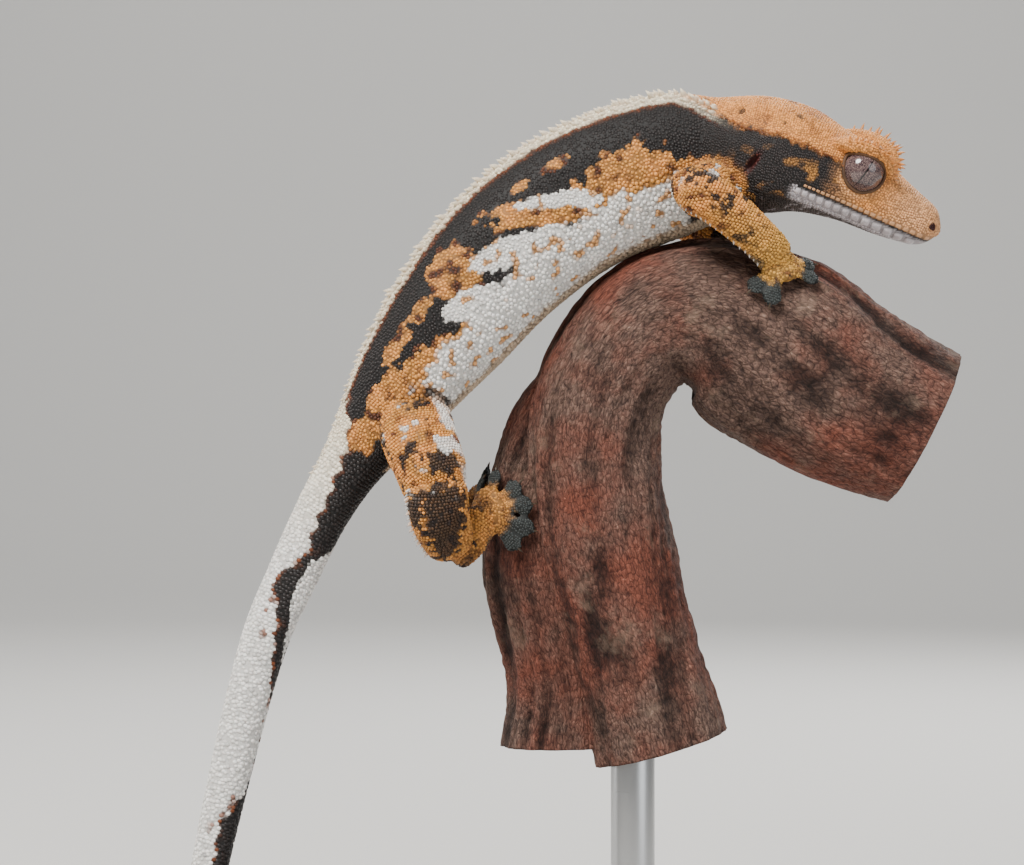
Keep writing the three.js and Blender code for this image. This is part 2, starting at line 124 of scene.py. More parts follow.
def set_uv(piece, per_point, name="OFBake"):
    """Gives each corner of a mesh the UV of its point."""
    layer = piece.data.uv_layers.new(name=name)
    corner_point = np.empty(len(piece.data.loops), dtype=np.int32)
    piece.data.loops.foreach_get("vertex_index", corner_point)
    layer.uv.foreach_set("vector", np.asarray(per_point, dtype=np.float32)[corner_point].ravel())


def points_of(piece):
    """The points of a mesh, in mm."""
    flat = np.empty(len(piece.data.vertices) * 3, dtype=np.float32)
    piece.data.vertices.foreach_get("co", flat)
    return flat.reshape(-1, 3).astype(float) / MM


def put_points(piece, points):
    piece.data.vertices.foreach_set("co", (np.asarray(points, dtype=np.float32) * MM).ravel())
    piece.data.update()


def unit(vectors):
    vectors = np.asarray(vectors, dtype=float)
    return vectors / np.maximum(np.linalg.norm(vectors, axis=-1, keepdims=True), 1e-9)


def level(direction, normal):
    """The part of a direction that lies flat on a surface with that normal, one unit long."""
    return unit(direction - normal * np.sum(direction * normal, axis=-1, keepdims=True))


def smoothstep(low, high, value):
    """0 below low and 1 above high, with a soft slope between them."""
    share = np.clip((np.asarray(value, dtype=float) - low) / (high - low), 0, 1)
    return share * share * (3 - 2 * share)


def field(points, size, seed=0.0):
    """Smooth noise from about -1 to 1 at each point, whose lumps are about size mm across."""
    scaled = np.asarray(points, dtype=float) / size + seed
    return np.array([noise.noise(point) for point in scaled.tolist()])


# %% [markdown]
# ## One way to make every limb
# Each form of the animal and of the branch is a sweep: a line through a few named stations, with a
# rounded section at each one. Hand-placing rings in edit mode would do for one limb, but the scales
# have to sit on the same surface that the skin has, so a small class that gives any point of the
# surface from its place along the line and its angle round it serves both.

# %% The sweep
def smooth_curve(stations, t):
    """Points on a smooth line through the stations. t runs from 0 to 1, evenly from station to station."""
    stations = np.asarray(stations, dtype=float)
    before = 2 * stations[0] - stations[1]
    after = 2 * stations[-1] - stations[-2]
    ends = np.vstack([before, stations, after])
    at = np.clip(t, 0, 1) * (len(stations) - 1)
    i = np.minimum(at.astype(int), len(stations) - 2)
    w = (at - i)[:, None]
    p0, p1, p2, p3 = (ends[i + k] for k in range(4))
    leaving = (p2 - p0) / 2
    arriving = (p3 - p1) / 2
    cubic = (2 * w**3 - 3 * w**2 + 1) * p1 + (w**3 - 2 * w**2 + w) * leaving
    return cubic + (3 * w**2 - 2 * w**3) * p2 + (w**3 - w**2) * arriving


def tube_faces(rings, around):
    """Two triangles for each cell of a tube, whose points lie ring after ring."""
    ring, k = np.divmod(np.arange(rings * around), around)
    a = ring * around + k
    b = ring * around + (k + 1) % around
    return np.stack([a, b, a + around, b, b + around, a + around], axis=1).reshape(-1, 3)


class Sweep:
    """A rounded form along a line. Angle 0 is the middle of its back, in radians.

    back gives the direction of the back, square and taper the form of the section, blunt the shares of
    the length over which each end is rounded off, and relief a height in mm to add to the surface.
    """

    def __init__(self, stations, back, square=1.0, taper=0.0, blunt=(0, 0), relief=None):
        stations = np.asarray(stations, dtype=float)
        self.places = stations[:, :3]
        self.sizes = stations[:, 3:6]
        self.back = back
        self.square = square
        self.taper = taper
        self.blunt = blunt
        self.relief = relief
        self.table_t = np.linspace(0, 1, 801)
        line = smooth_curve(self.places, self.table_t)
        steps = np.linalg.norm(np.diff(line, axis=0), axis=1)
        self.table_run = np.concatenate([[0], np.cumsum(steps)])
        self.length = self.table_run[-1]

    def t_of_run(self, run):
        return np.interp(run, self.table_run, self.table_t)

    def run_of_t(self, t):
        return np.interp(t, self.table_t, self.table_run)

    def frames(self, t):
        """Places on the line, and the directions along it, to the back and to the side."""
        t = np.atleast_1d(np.asarray(t, dtype=float))
        place = smooth_curve(self.places, t)
        ahead = smooth_curve(self.places, np.minimum(t + 1e-4, 1))
        behind = smooth_curve(self.places, np.maximum(t - 1e-4, 0))
        along = unit(ahead - behind)
        back = np.broadcast_to(self.back(along), along.shape).astype(float)
        back = level(back, along)
        return place, along, back, np.cross(back, along)

    def drawn_in(self, t):
        """How much of its size the section has at t: 1 along the form, less near a blunt end."""
        start, end = self.blunt
        near = np.ones_like(t)
        if start:
            near = np.minimum(near, t / start)
        if end:
            near = np.minimum(near, (1 - t) / end)
        return np.sqrt(np.maximum(0, 1 - (1 - near) ** 2))

    def surface(self, t, angle, lift=0.0):
        """Points of the surface, in mm, and the directions along the form there."""
        t = np.atleast_1d(np.asarray(t, dtype=float))
        angle = np.broadcast_to(np.asarray(angle, dtype=float), t.shape)
        place, along, back, side = self.frames(t)
        size = smooth_curve(self.sizes, t)
        drawn = self.drawn_in(t)
        up, out = np.cos(angle), np.sin(angle)
        rise = np.sign(up) * np.abs(up) ** self.square
        reach = np.sign(out) * np.abs(out) ** self.square * (1 - self.taper * rise)
        extra = lift if self.relief is None else lift + self.relief(self, t, angle)
        height = np.where(up > 0, size[:, 0], size[:, 1]) * drawn + extra
        width = size[:, 2] * drawn + extra
        return place + back * (rise * height)[:, None] + side * (reach * width)[:, None], along

    def shell(self, around, rings, lift=0.0):
        """A closed mesh: rings of points and a fan at each end."""
        share = np.linspace(0, 1, rings + 1)
        if any(self.blunt):
            share = share - np.sin(2 * np.pi * share) / 14
        t = np.repeat(np.clip(share, 0.002, 0.998), around)
        angle = np.tile(np.arange(around) * 2 * np.pi / around, rings + 1)
        points, _ = self.surface(t, angle, lift)
        middles = points.reshape(rings + 1, around, 3)[[0, -1]].mean(axis=1)
        points = np.vstack([points, middles])
        k = np.arange(around)
        nxt = (k + 1) % around
        first, last = np.full((2, around), [[len(points) - 2], [len(points) - 1]])
        start = rings * around
        fans = np.stack([first, nxt, k, last, start + k, start + nxt], axis=1).reshape(-1, 3)
        return points, np.vstack([tube_faces(rings, around), fans])


# %% [markdown]
# ## The animal's measurements
# These are the CAD model's own stations, repeated here because this script reads only the packed
# frame. Each station is x, y, z and three half sizes in mm: to the back, to the belly, to the side.

# %% Stations of the trunk, head and branch
TRUNK = [
    [36, -3.2, 156.6, 7.5, 7.5, 7.2],
    [30, -2.4, 157.4, 9.3, 9.3, 8.2],
    [23.5, -1.2, 157.2, 10.2, 10.2, 8.6],
    [15, 0, 156.1, 11.8, 11.6, 9.8],
    [1.5, 0, 150.9, 12, 11.9, 10.6],
    [-10, -0.5, 142.3, 11.8, 11.7, 11.2],
    [-18.8, -1.5, 131.8, 10.7, 10.6, 10.6],
    [-24.6, -2.5, 124, 9.2, 9.1, 9.2],
    [-29.2, -3, 117, 7.5, 7.6, 7.6],
    [-34.2, -3.4, 109.6, 5.3, 5.4, 5.6],
    [-38.9, -3.8, 101.8, 4.5, 4.6, 4.8],
    [-43.6, -4.6, 91.8, 4.2, 4.3, 4.4],
    [-48.4, -6, 79.9, 3.9, 3.9, 4.1],
    [-54, -8, 57, 3.4, 3.4, 3.5],
    [-57.6, -10, 38, 2.8, 2.8, 2.9],
    [-58.6, -11, 24, 2, 2, 2.5],
    [-57, -11.4, 14.5, 1.1, 1.1, 2.4],
]
SNOUT = np.array([58.1, -6.5, 146.3])
HEAD_TURNS = {"pitch": 21.5, "yaw": 7, "roll": 13}
HEAD = [
    [0, 0.9, -3.2, 2.6],
    [2, 2.4, -4.4, 4],
    [5, 3.5, -4.9, 5],
    [9.5, 5.2, -5.2, 6.4],
    [15.5, 7.8, -5.2, 8],
    [20, 8.9, -5.6, 9.7],
    [25, 10.2, -6.9, 11.4],
    [29.5, 9.9, -8.4, 11.6],
    [34.5, 8.4, -9.2, 9.8],
    [40, 6.2, -8.6, 7.6],
]
PERCH_FOOT = 64
MAIN_STRAND = [
    [14.5, 0, PERCH_FOOT, 11, 11, 11],
    [9.6, 0, 81, 10.8, 10.8, 11],
    [5.8, 0, 97, 11.3, 10.8, 11],
    [3.8, 0, 111, 11, 10.8, 10.8],
    [5.7, 0, 122.3, 10.6, 10.6, 10.8],
    [11.8, 0, 131, 10.4, 11.8, 10.8],
    [21.4, 0, 133.4, 11.6, 14.5, 11.4],
    [32.5, 0, 128.6, 14.4, 17, 12.6],
    [44.4, 0, 120.8, 14, 15.5, 13],
    [56.3, 0, 115, 13, 13.5, 12.4],
]
REAR_STRAND = [
    [-1.5, 4, PERCH_FOOT, 10, 10, 9],
    [-1.7, 4, 74, 8.6, 8.6, 8.4],
    [-4.4, 4, 84, 8.4, 8.4, 8],
    [-6.7, 4, 94, 7.9, 7.9, 7.8],
    [-5.8, 4, 103.3, 7.6, 7.6, 7.6],
    [-2.4, 4, 114.4, 7.6, 7.6, 7.6],
    [3.4, 3, 123.8, 7, 7, 7],
]
SIDES = {"right": 1, "left": -1}
GAP = 0.3  # between a hand or foot and the wood, in mm
SKIN_DEPTH = 0.35  # the skin lies this far inside the solids, to leave room for the scales

turn = Matrix.Rotation(math.radians(-HEAD_TURNS["yaw"]), 3, "Z")
turn = turn @ Matrix.Rotation(math.radians(HEAD_TURNS["pitch"]), 3, "Y")
HEAD_TURN = np.array(turn @ Matrix.Rotation(math.radians(HEAD_TURNS["roll"]), 3, "X"))


def on_head(behind, height, right):
    """A place on the head from its distances behind the snout, up, and to the animal's right."""
    local = np.stack(np.broadcast_arrays(-np.asarray(behind, float), -np.asarray(right, float), height), -1)
    return local @ HEAD_TURN.T + SNOUT


def head_place(points):
    """Distance behind the snout, height and distance to the right of points near the head."""
    local = (np.asarray(points) - SNOUT) @ HEAD_TURN
    return -local[..., 0], local[..., 2], -local[..., 1]


HEAD_UP = HEAD_TURN @ np.array([0, 0, 1.0])
CREST_LINE = {"run": [3, 8, 12, 13.5, 18], "degrees": [80, 70, 51, 43, 26]}


def crest_angle(run):
    """The two crests lie wide apart on the nape and draw together along the back."""
    return np.radians(np.interp(run, CREST_LINE["run"], CREST_LINE["degrees"]))


RIDGE = {"high": 0.45, "half_wide": 0.13}  # mm and radians
HOLLOW = {"deep": 0.35, "half_wide": 0.22}


def trunk_relief(sweep, t, angle):
    """A low ridge carries each crest, and the middle of the back sinks a little between them."""
    run = sweep.run_of_t(t)
    turned = np.abs((angle + np.pi) % (2 * np.pi) - np.pi)
    present = smoothstep(6, 14, run) * (1 - smoothstep(84, 100, run))
    ridge = RIDGE["high"] * np.exp(-(((turned - crest_angle(run)) / RIDGE["half_wide"]) ** 2))
    hollow = HOLLOW["deep"] * np.exp(-((turned / HOLLOW["half_wide"]) ** 2))
    return present * (ridge - hollow)


def turned_back(along):
    """The upper side of a form that runs in a plane facing the camera."""
    return np.stack([along[:, 2], np.zeros(len(along)), -along[:, 0]], axis=1)


trunk = Sweep(TRUNK, turned_back, square=0.85, blunt=(0, 0.08), relief=trunk_relief)
head_stations = [
    [*on_head(behind, (top + under) / 2, 0), (top - under) / 2, (top - under) / 2, wide]
    for behind, top, under, wide in HEAD
]
head = Sweep(head_stations, lambda along: HEAD_UP, square=0.8, taper=0.15, blunt=(0.16, 0))
main_strand = Sweep(MAIN_STRAND, lambda along: -turned_back(along))
rear_strand = Sweep(REAR_STRAND, lambda along: -turned_back(along))
print("trunk and tail", round(trunk.length, 1), "mm, head", round(head.length, 1), "mm")

# %% [markdown]
# ## Brows, eyes and limbs
# A crested gecko has no moving eyelids: a bony brow shades each globe. The limbs are short sweeps that
# meet inside one another. Hands and feet are laid on the branch in code, so that each toe follows the
# curve of the wood.

# %% Brows and the places of the eyes
EYE = {"behind": 14.7, "height": 4.3, "right": 5.4, "radius": 3.6}


def eye_centre(right):
    return on_head(EYE["behind"], EYE["height"], right * EYE["right"])


def brow(right):
    stations = [
        [*on_head(9.8, 4.2, right * 4.3), 0.8, 0.9, 1.2],
        [*on_head(11.7, 7.1, right * 5.3), 1.1, 1.4, 2],
        [*on_head(15.3, 8.1, right * 6), 1.3, 1.8, 2.6],
        [*on_head(21, 7, right * 6.2), 1.2, 1.6, 2],
    ]
    return Sweep(stations, lambda along: HEAD_UP, blunt=(0.2, 0.2))


brows = {side: brow(right) for side, right in SIDES.items()}


# %% Hands and feet, laid on the branch
def away_from(strand, point):
    """The direction straight out of a strand at a point near it."""
    line = smooth_curve(strand.places, strand.table_t)
    nearest = line[np.argmin(np.linalg.norm(line - point, axis=1))]
    return unit(point - nearest)


class Foot:
    """A palm on a strand with five toes. Each toe has a bearing in degrees and a share of the reach."""

    def __init__(self, strand, at, turned, reach, palm, toes):
        self.strand, self.at, self.turned = strand, at, math.radians(turned)
        self.radius = smooth_curve(strand.sizes, np.array([at]))[0, 0]
        self.palm = palm
        self.centre = self.spot(0, 0, palm["thick"] + GAP)
        middle = smooth_curve(strand.places, np.array([at]))[0]
        self.outward = unit(self.centre - middle)
        self.toes = [self.toe(bearing, reach * size) for bearing, size in toes]

    def spot(self, bearing, distance, lift):
        """The place on the wood at a bearing and distance from the middle of the palm, and a lift."""
        ahead = math.cos(math.radians(bearing)) * distance
        round_it = math.sin(math.radians(bearing)) * distance
        t = self.at + ahead / self.strand.length
        return self.strand.surface(t, self.turned + round_it / self.radius, lift)[0][0]

    def toe(self, bearing, long):
        """A toe that is narrow in the middle and spreads into the pad that grips."""
        def bar(share, lift, thick, wide):
            return [*self.spot(bearing, long * share, lift + GAP), thick, thick, wide]

        stations = [
            bar(0.1, 1.3, 1.2, 1.3),
            bar(0.38, 1.15, 0.95, 1.05),
            bar(0.62, 0.9, 0.75, 1.25),
            bar(0.84, 0.75, 0.65, 1.75),
            bar(1.04, 0.65, 0.5, 1.4),
        ]
        out = away_from(self.strand, self.spot(bearing, long * 0.7, 0))
        return Sweep(stations, lambda along: out, blunt=(0, 0.3))

    def palm_shell(self, lift):
        """The palm as a flattened ball, longest towards the middle toes."""
        toward = self.spot(self.palm["bearing"], 3, 1.5) - self.centre
        side = unit(np.cross(toward, -self.outward))
        forward = np.cross(-self.outward, side)
        sizes = [self.palm["wide"] * 1.15, self.palm["long"] * 1.08, self.palm["thick"] * 1.15]
        radii = np.array(sizes) + lift
        bpy.ops.mesh.primitive_uv_sphere_add(segments=32, ring_count=20, radius=1)
        ball = bpy.context.active_object
        local = points_of(ball) * MM * radii
        faces = []
        for polygon in ball.data.polygons:
            face = list(polygon.vertices)
            start = face.index(min(face))
            faces.append(face[start:] + face[:start])
        triangles = []
        for face in sorted(faces):  # the ball's faces come in a new order in each run
            triangles += [(face[0], face[k], face[k + 1]) for k in range(1, len(face) - 1)]
        bpy.data.objects.remove(ball)
        axes = np.stack([side, forward, -self.outward])
        return local @ axes + self.centre, np.array(triangles)

    def inside(self, amount):
        """A place above the middle of the palm, where the limb ends in it."""
        return self.centre + self.outward * amount


HAND = {"reach": 6.2, "palm": {"thick": 1.5, "wide": 3.2, "long": 3.6, "bearing": 30}}
FOOT = {"reach": 6.6, "palm": {"thick": 1.6, "wide": 3.1, "long": 3.9, "bearing": 30}}
HAND_TOES = {
    "right": [(98, 0.9), (38, 0.95), (4, 1), (-78, 1.05), (-112, 0.95)],
    "left": [(-92, 0.9), (-36, 0.95), (4, 1), (62, 1.05), (112, 0.95)],
}
FOOT_TOES = {
    "right": [(12, 0.9), (-34, 0.9), (-68, 0.95), (-108, 1.05), (-140, 1.1)],
    "left": [(-42, 0.9), (-4, 0.9), (30, 0.95), (64, 1.05), (102, 1.1)],
}
feet = {
    "hand_right": Foot(main_strand, 6.58 / 9, -49, **HAND, toes=HAND_TOES["right"]),
    "hand_left": Foot(main_strand, 6.8 / 9, 46, **HAND, toes=HAND_TOES["left"]),
    "foot_right": Foot(rear_strand, 3.72 / 6, -46, **FOOT, toes=FOOT_TOES["right"]),
    "foot_left": Foot(rear_strand, 3.72 / 6, 20, **FOOT, toes=FOOT_TOES["left"]),
}


# %% Legs and arms
def limb(stations, outward):
    """A length of a limb. Each station is x, y, z, half thickness and half width."""
    rows = [[x, y, z, thick, thick, wide] for x, y, z, thick, wide in stations]
    return Sweep(rows, lambda along: unit(outward), blunt=(0.15, 0.15))


RIGHT_ARM, LEFT_ARM = [0, -1, 0.35], [0, 1, 0.35]
RIGHT_LEG, LEFT_LEG = [0.2, -1, -0.2], [0.2, 1, -0.2]
limbs = {
    "upper_arm_right": limb(
        [[25, -5, 154, 3.8, 4.4], [21.5, -10.5, 152, 3.8, 4.4], [17.4, -15, 150, 3.4, 4.6]], RIGHT_ARM
    ),
    "forearm_right": limb(
        [
            [16.6, -15.6, 152, 3, 3.7],
            [22.2, -15.2, 149.2, 3.1, 3.8],
            [28.2, -13.6, 144.4, 2.6, 3.4],
            [*feet["hand_right"].inside(0.8), 1.9, 3.4],
        ],
        RIGHT_ARM,
    ),
    "upper_arm_left": limb(
        [[26, 4.5, 154.5, 3.8, 4.4], [22.5, 10, 152.6, 3.8, 4.4], [18.6, 14.8, 150.6, 3.4, 4.4]], LEFT_ARM
    ),
    "forearm_left": limb(
        [
            [17.2, 15, 150.8, 3, 4],
            [22.4, 15, 147.8, 3, 4],
            [28.6, 13.2, 143.4, 2.6, 3.4],
            [*feet["hand_left"].inside(0.8), 1.9, 3.2],
        ],
        LEFT_ARM,
    ),
    "thigh_right": limb(
        [[-25.4, -5, 119.5, 4.2, 6], [-23.4, -11, 112.6, 4.3, 6], [-20.2, -15.6, 105.4, 3.6, 5.2]], RIGHT_LEG
    ),
    "shin_right": limb(
        [[-20.8, -16, 107, 3.2, 4.6], [-20.2, -14.2, 101, 3.2, 4.8], [-18, -9, 95, 2.6, 3.6]], RIGHT_LEG
    ),
    "instep_right": limb(
        [[-18.4, -8.8, 94.6, 2, 2.8], [-15.8, -6.4, 97, 2, 3], [*feet["foot_right"].inside(0.6), 1.8, 2.9]],
        RIGHT_LEG,
    ),
    "thigh_left": limb(
        [[-26, 2, 119, 4.2, 5.8], [-24, 10.4, 112.2, 4.2, 5.6], [-20.8, 18, 105.2, 3.5, 4.9]], LEFT_LEG
    ),
    "shin_left": limb(
        [[-21.2, 18.6, 106.4, 3.2, 4.4], [-21, 17, 100.4, 3.2, 4.6], [-19.4, 12.4, 95, 2.6, 3.5]], LEFT_LEG
    ),
    "instep_left": limb(
        [[-19.6, 12.2, 94.7, 2, 2.8], [-17.6, 9.6, 96.8, 2, 3], [*feet["foot_left"].inside(0.6), 1.8, 2.8]],
        LEFT_LEG,
    ),
}
print(len(limbs), "limb lengths and", sum(len(foot.toes) for foot in feet.values()), "toes")

# %% [markdown]
# ## One skin
# The sweeps are joined as overlapping shells and remeshed with voxels, which is how a sculptor fuses
# parts into one body: no seam is left at a shoulder or a hip. A few rounds of smoothing then take away
# the voxels' steps and leave soft folds where the limbs meet the body.

# %% Join the shells and remesh them
VOXEL = 0.43  # in mm, so that the skin stays under 200,000 triangles


def joined(shells):
    """The points and faces of many shells as those of one."""
    points, faces, start = [], [], 0
    for shell_points, shell_faces in shells:
        points.append(shell_points)
        faces.append(shell_faces + start)
        start += len(shell_points)
    return np.vstack(points), np.vstack(faces)


def bridge(name, share, second, second_share, last=None):
    """A short sweep that fills the notch between two limb lengths, from a share of the first to a
    share of the second. last moves its far end."""
    first, then = limbs[name], limbs[second]
    stations = []
    for sweep, at in ((first, share), (first, 0.96), (then, second_share)):
        place = smooth_curve(sweep.places, np.array([at]))[0]
        stations.append([*place, *smooth_curve(sweep.sizes, np.array([at]))[0]])
    if last is not None:
        stations[2][:3] = last
    stations[1][:3] = np.mean([stations[0][:3], stations[1][:3], stations[2][:3]], axis=0)
    return Sweep(stations, first.back, blunt=(0.15, 0.15))


bridges = []
for side in SIDES:
    bridges.append(bridge("thigh_" + side, 0.6, "shin_" + side, 0.5))
    hand = feet["hand_" + side]
    bridges.append(bridge("forearm_" + side, 0.66, "forearm_" + side, 0.98, hand.inside(0.3)))
shells = [head.shell(72, 90, -SKIN_DEPTH), trunk.shell(84, 330, -SKIN_DEPTH)]
shells += [each.shell(32, 24, -SKIN_DEPTH) for each in bridges]
shells += [each.shell(28, 30, -SKIN_DEPTH) for each in brows.values()]
shells += [each.shell(40, 36, -SKIN_DEPTH) for each in limbs.values()]
for foot in feet.values():
    shells.append(foot.palm_shell(-SKIN_DEPTH))
    shells += [toe.shell(24, 22, -0.2) for toe in foot.toes]
skin = mesh_piece("skin", *joined(shells))
only_selected(skin)
skin.data.remesh_voxel_size = VOXEL * MM
skin.data.remesh_voxel_adaptivity = 0
bpy.ops.object.voxel_remesh()
soften = skin.modifiers.new("soften", "SMOOTH")
soften.factor = 0.5
soften.iterations = 4
bpy.ops.object.modifier_apply(modifier="soften")
for polygon in skin.data.polygons:
    polygon.use_smooth = True
print("skin faces", len(skin.data.polygons))

# %% [markdown]
# ## Ear and eye in the skin
# The ear is an upright slot behind the corner of the jaw. It is pressed into the skin by moving the
# points near it inwards, more in the middle than at the rim.

# %% Press the ear slots in
EAR = {"behind": 30.6, "height": 0.1, "half_long": 1.5, "half_wide": 0.55, "deep": 1.3}


def ear_depth(points, right):
    behind, height, side = head_place(points)
    across = (behind - EAR["behind"] + 0.25 * (height - EAR["height"])) / EAR["half_wide"]
    tall = (height - EAR["height"]) / EAR["half_long"]
    near = np.exp(-((across**2 + tall**2) ** 1.2))
    return np.where(side * right > 5, near, 0)


places = points_of(skin)
for right in SIDES.values():
    inward = np.outer(ear_depth(places, right) * EAR["deep"], HEAD_TURN @ np.array([0, right, 0]))
    places = places + inward
put_points(skin, places)

skin_tree = BVHTree.FromPolygons(
    [tuple(point) for point in places.tolist()], [tuple(polygon.vertices) for polygon in skin.data.polygons]
)


def on_skin(points):
    """The nearest places of the skin, the outward directions there, and the distances."""
    found = [skin_tree.find_nearest(point) for point in np.asarray(points).tolist()]
    place = np.array([hit[0][:] for hit in found])
    normal = np.array([hit[1][:] for hit in found])
    away = np.array([hit[3] for hit in found])
    return place, normal, away


# %% [markdown]
# ## Markings
# The colours of this animal are painted by rules, as its skin is: a cream crest line, a dark band under
# it, then tongues of orange and white that climb the flank, an orange crown, dark temples and a white
# tail. One function gives the colour of any place on the body, so the skin and the scales on it agree.
# The place is given by where it lies along the trunk and how far round it from the middle of the back.

# %% Where a place lies on the trunk
trunk_table = smooth_curve(trunk.places, np.linspace(0, 1, 1201))
trunk_tree = KDTree(len(trunk_table))
for index, point in enumerate(trunk_table.tolist()):
    trunk_tree.insert(point, index)
trunk_tree.balance()
TABLE_T = np.linspace(0, 1, 1201)
_, _, TABLE_BACK, TABLE_SIDE = trunk.frames(TABLE_T)


def trunk_place(points):
    """Distance along the trunk in mm, and degrees from the middle of the back, positive to the right."""
    index = np.array([trunk_tree.find(point)[1] for point in np.asarray(points).tolist()])
    offset = points - trunk_table[index]
    up = np.sum(offset * TABLE_BACK[index], axis=1)
    side = np.sum(offset * TABLE_SIDE[index], axis=1)
    return trunk.run_of_t(TABLE_T[index]), np.degrees(np.arctan2(side, up))


# %% The palette and the flank's patches
COLOURS = {
    name: linear(code)
    for name, code in {
        "cream": "e9dcc2",
        "white": "e2dfda",
        "rust": "7c4222",
        "charcoal": "1f1a19",
        "orange": "c2863f",
        "tan": "b98352",
        "crown": "e2974c",
        "snout": "cd996c",
        "temple": "231d1c",
        "lip": "c4bcbf",
        "throat": "4b423f",
        "toe": "363b3a",
        "yellow": "cb9746",
        "ear": "64201a",
        "belly": "b9a48c",
    }.items()
}

# Patches of the flank: distance along the trunk, degrees round from the back, half sizes of both, and
# the way that the patch slants in degrees for each mm along.
ORANGE_PATCHES = [
    (28, 98, 9, 32, 0),
    (19, 112, 5, 24, 0),
    (11, 108, 4, 20, 0),
    (75, 96, 4, 16, 0),
    (70, 106, 3.5, 12, 0),
    (42.5, 88, 8.5, 14, -3.0),
    (37, 57, 2.2, 5, 0),
    (43, 57, 1.5, 4, 0),
    (59, 74, 3.8, 30, 0),
    (67, 66, 2.8, 7, 0),
    (73, 64, 3.4, 8, 0),
    (65, 116, 4, 14, -1.0),
    (80, 82, 4.5, 17, 0),
    (87, 84, 4.5, 24, 0),
]
WHITE_PATCHES = [
    (38, 89, 6.8, 9, -2.6),
    (49, 98, 9.5, 15, -2.0),
    (61, 98, 5.5, 14, -2.0),
    (40, 122, 20, 15, 0),
    (58, 122, 9, 14, 0),
]
# Where the pale upper side of the tail ends, and where the pale strip below it begins, in degrees.
TAIL_PALE = {
    "run": [82, 86, 91, 97, 103, 108, 110, 113.5, 116, 119, 124.5, 130, 133, 144, 148, 151.5, 165, 190],
    "degrees": [26, 48, 74, 86, 93, 99, 84, 56, 78, 100, 121, 150, 184, 176, 130, 97, 100, 112],
}
TAIL_STRIP = {"run": [104, 108.5, 113.5, 118, 124.5, 128], "degrees": [190, 116, 112, 128, 157, 190]}


def patch_strength(run, round_it, patches, wobble):
    """Above 0 inside the patches. wobble makes their edges ragged."""
    strength = np.full(len(run), -1.0)
    for middle, degrees, long, tall, slant in patches:
        off_run = (run - middle) / long
        off_round = (round_it - degrees - slant * (run - middle)) / tall
        strength = np.maximum(strength, 1 - np.hypot(off_run, off_round) + wobble)
    return strength


def mixed(base, colour, share):
    return base + (colour - base) * np.clip(share, 0, 1)[:, None]


def filled(name, points):
    """One colour of the palette, for each of the points."""
    return np.tile(COLOURS[name], (len(points), 1))


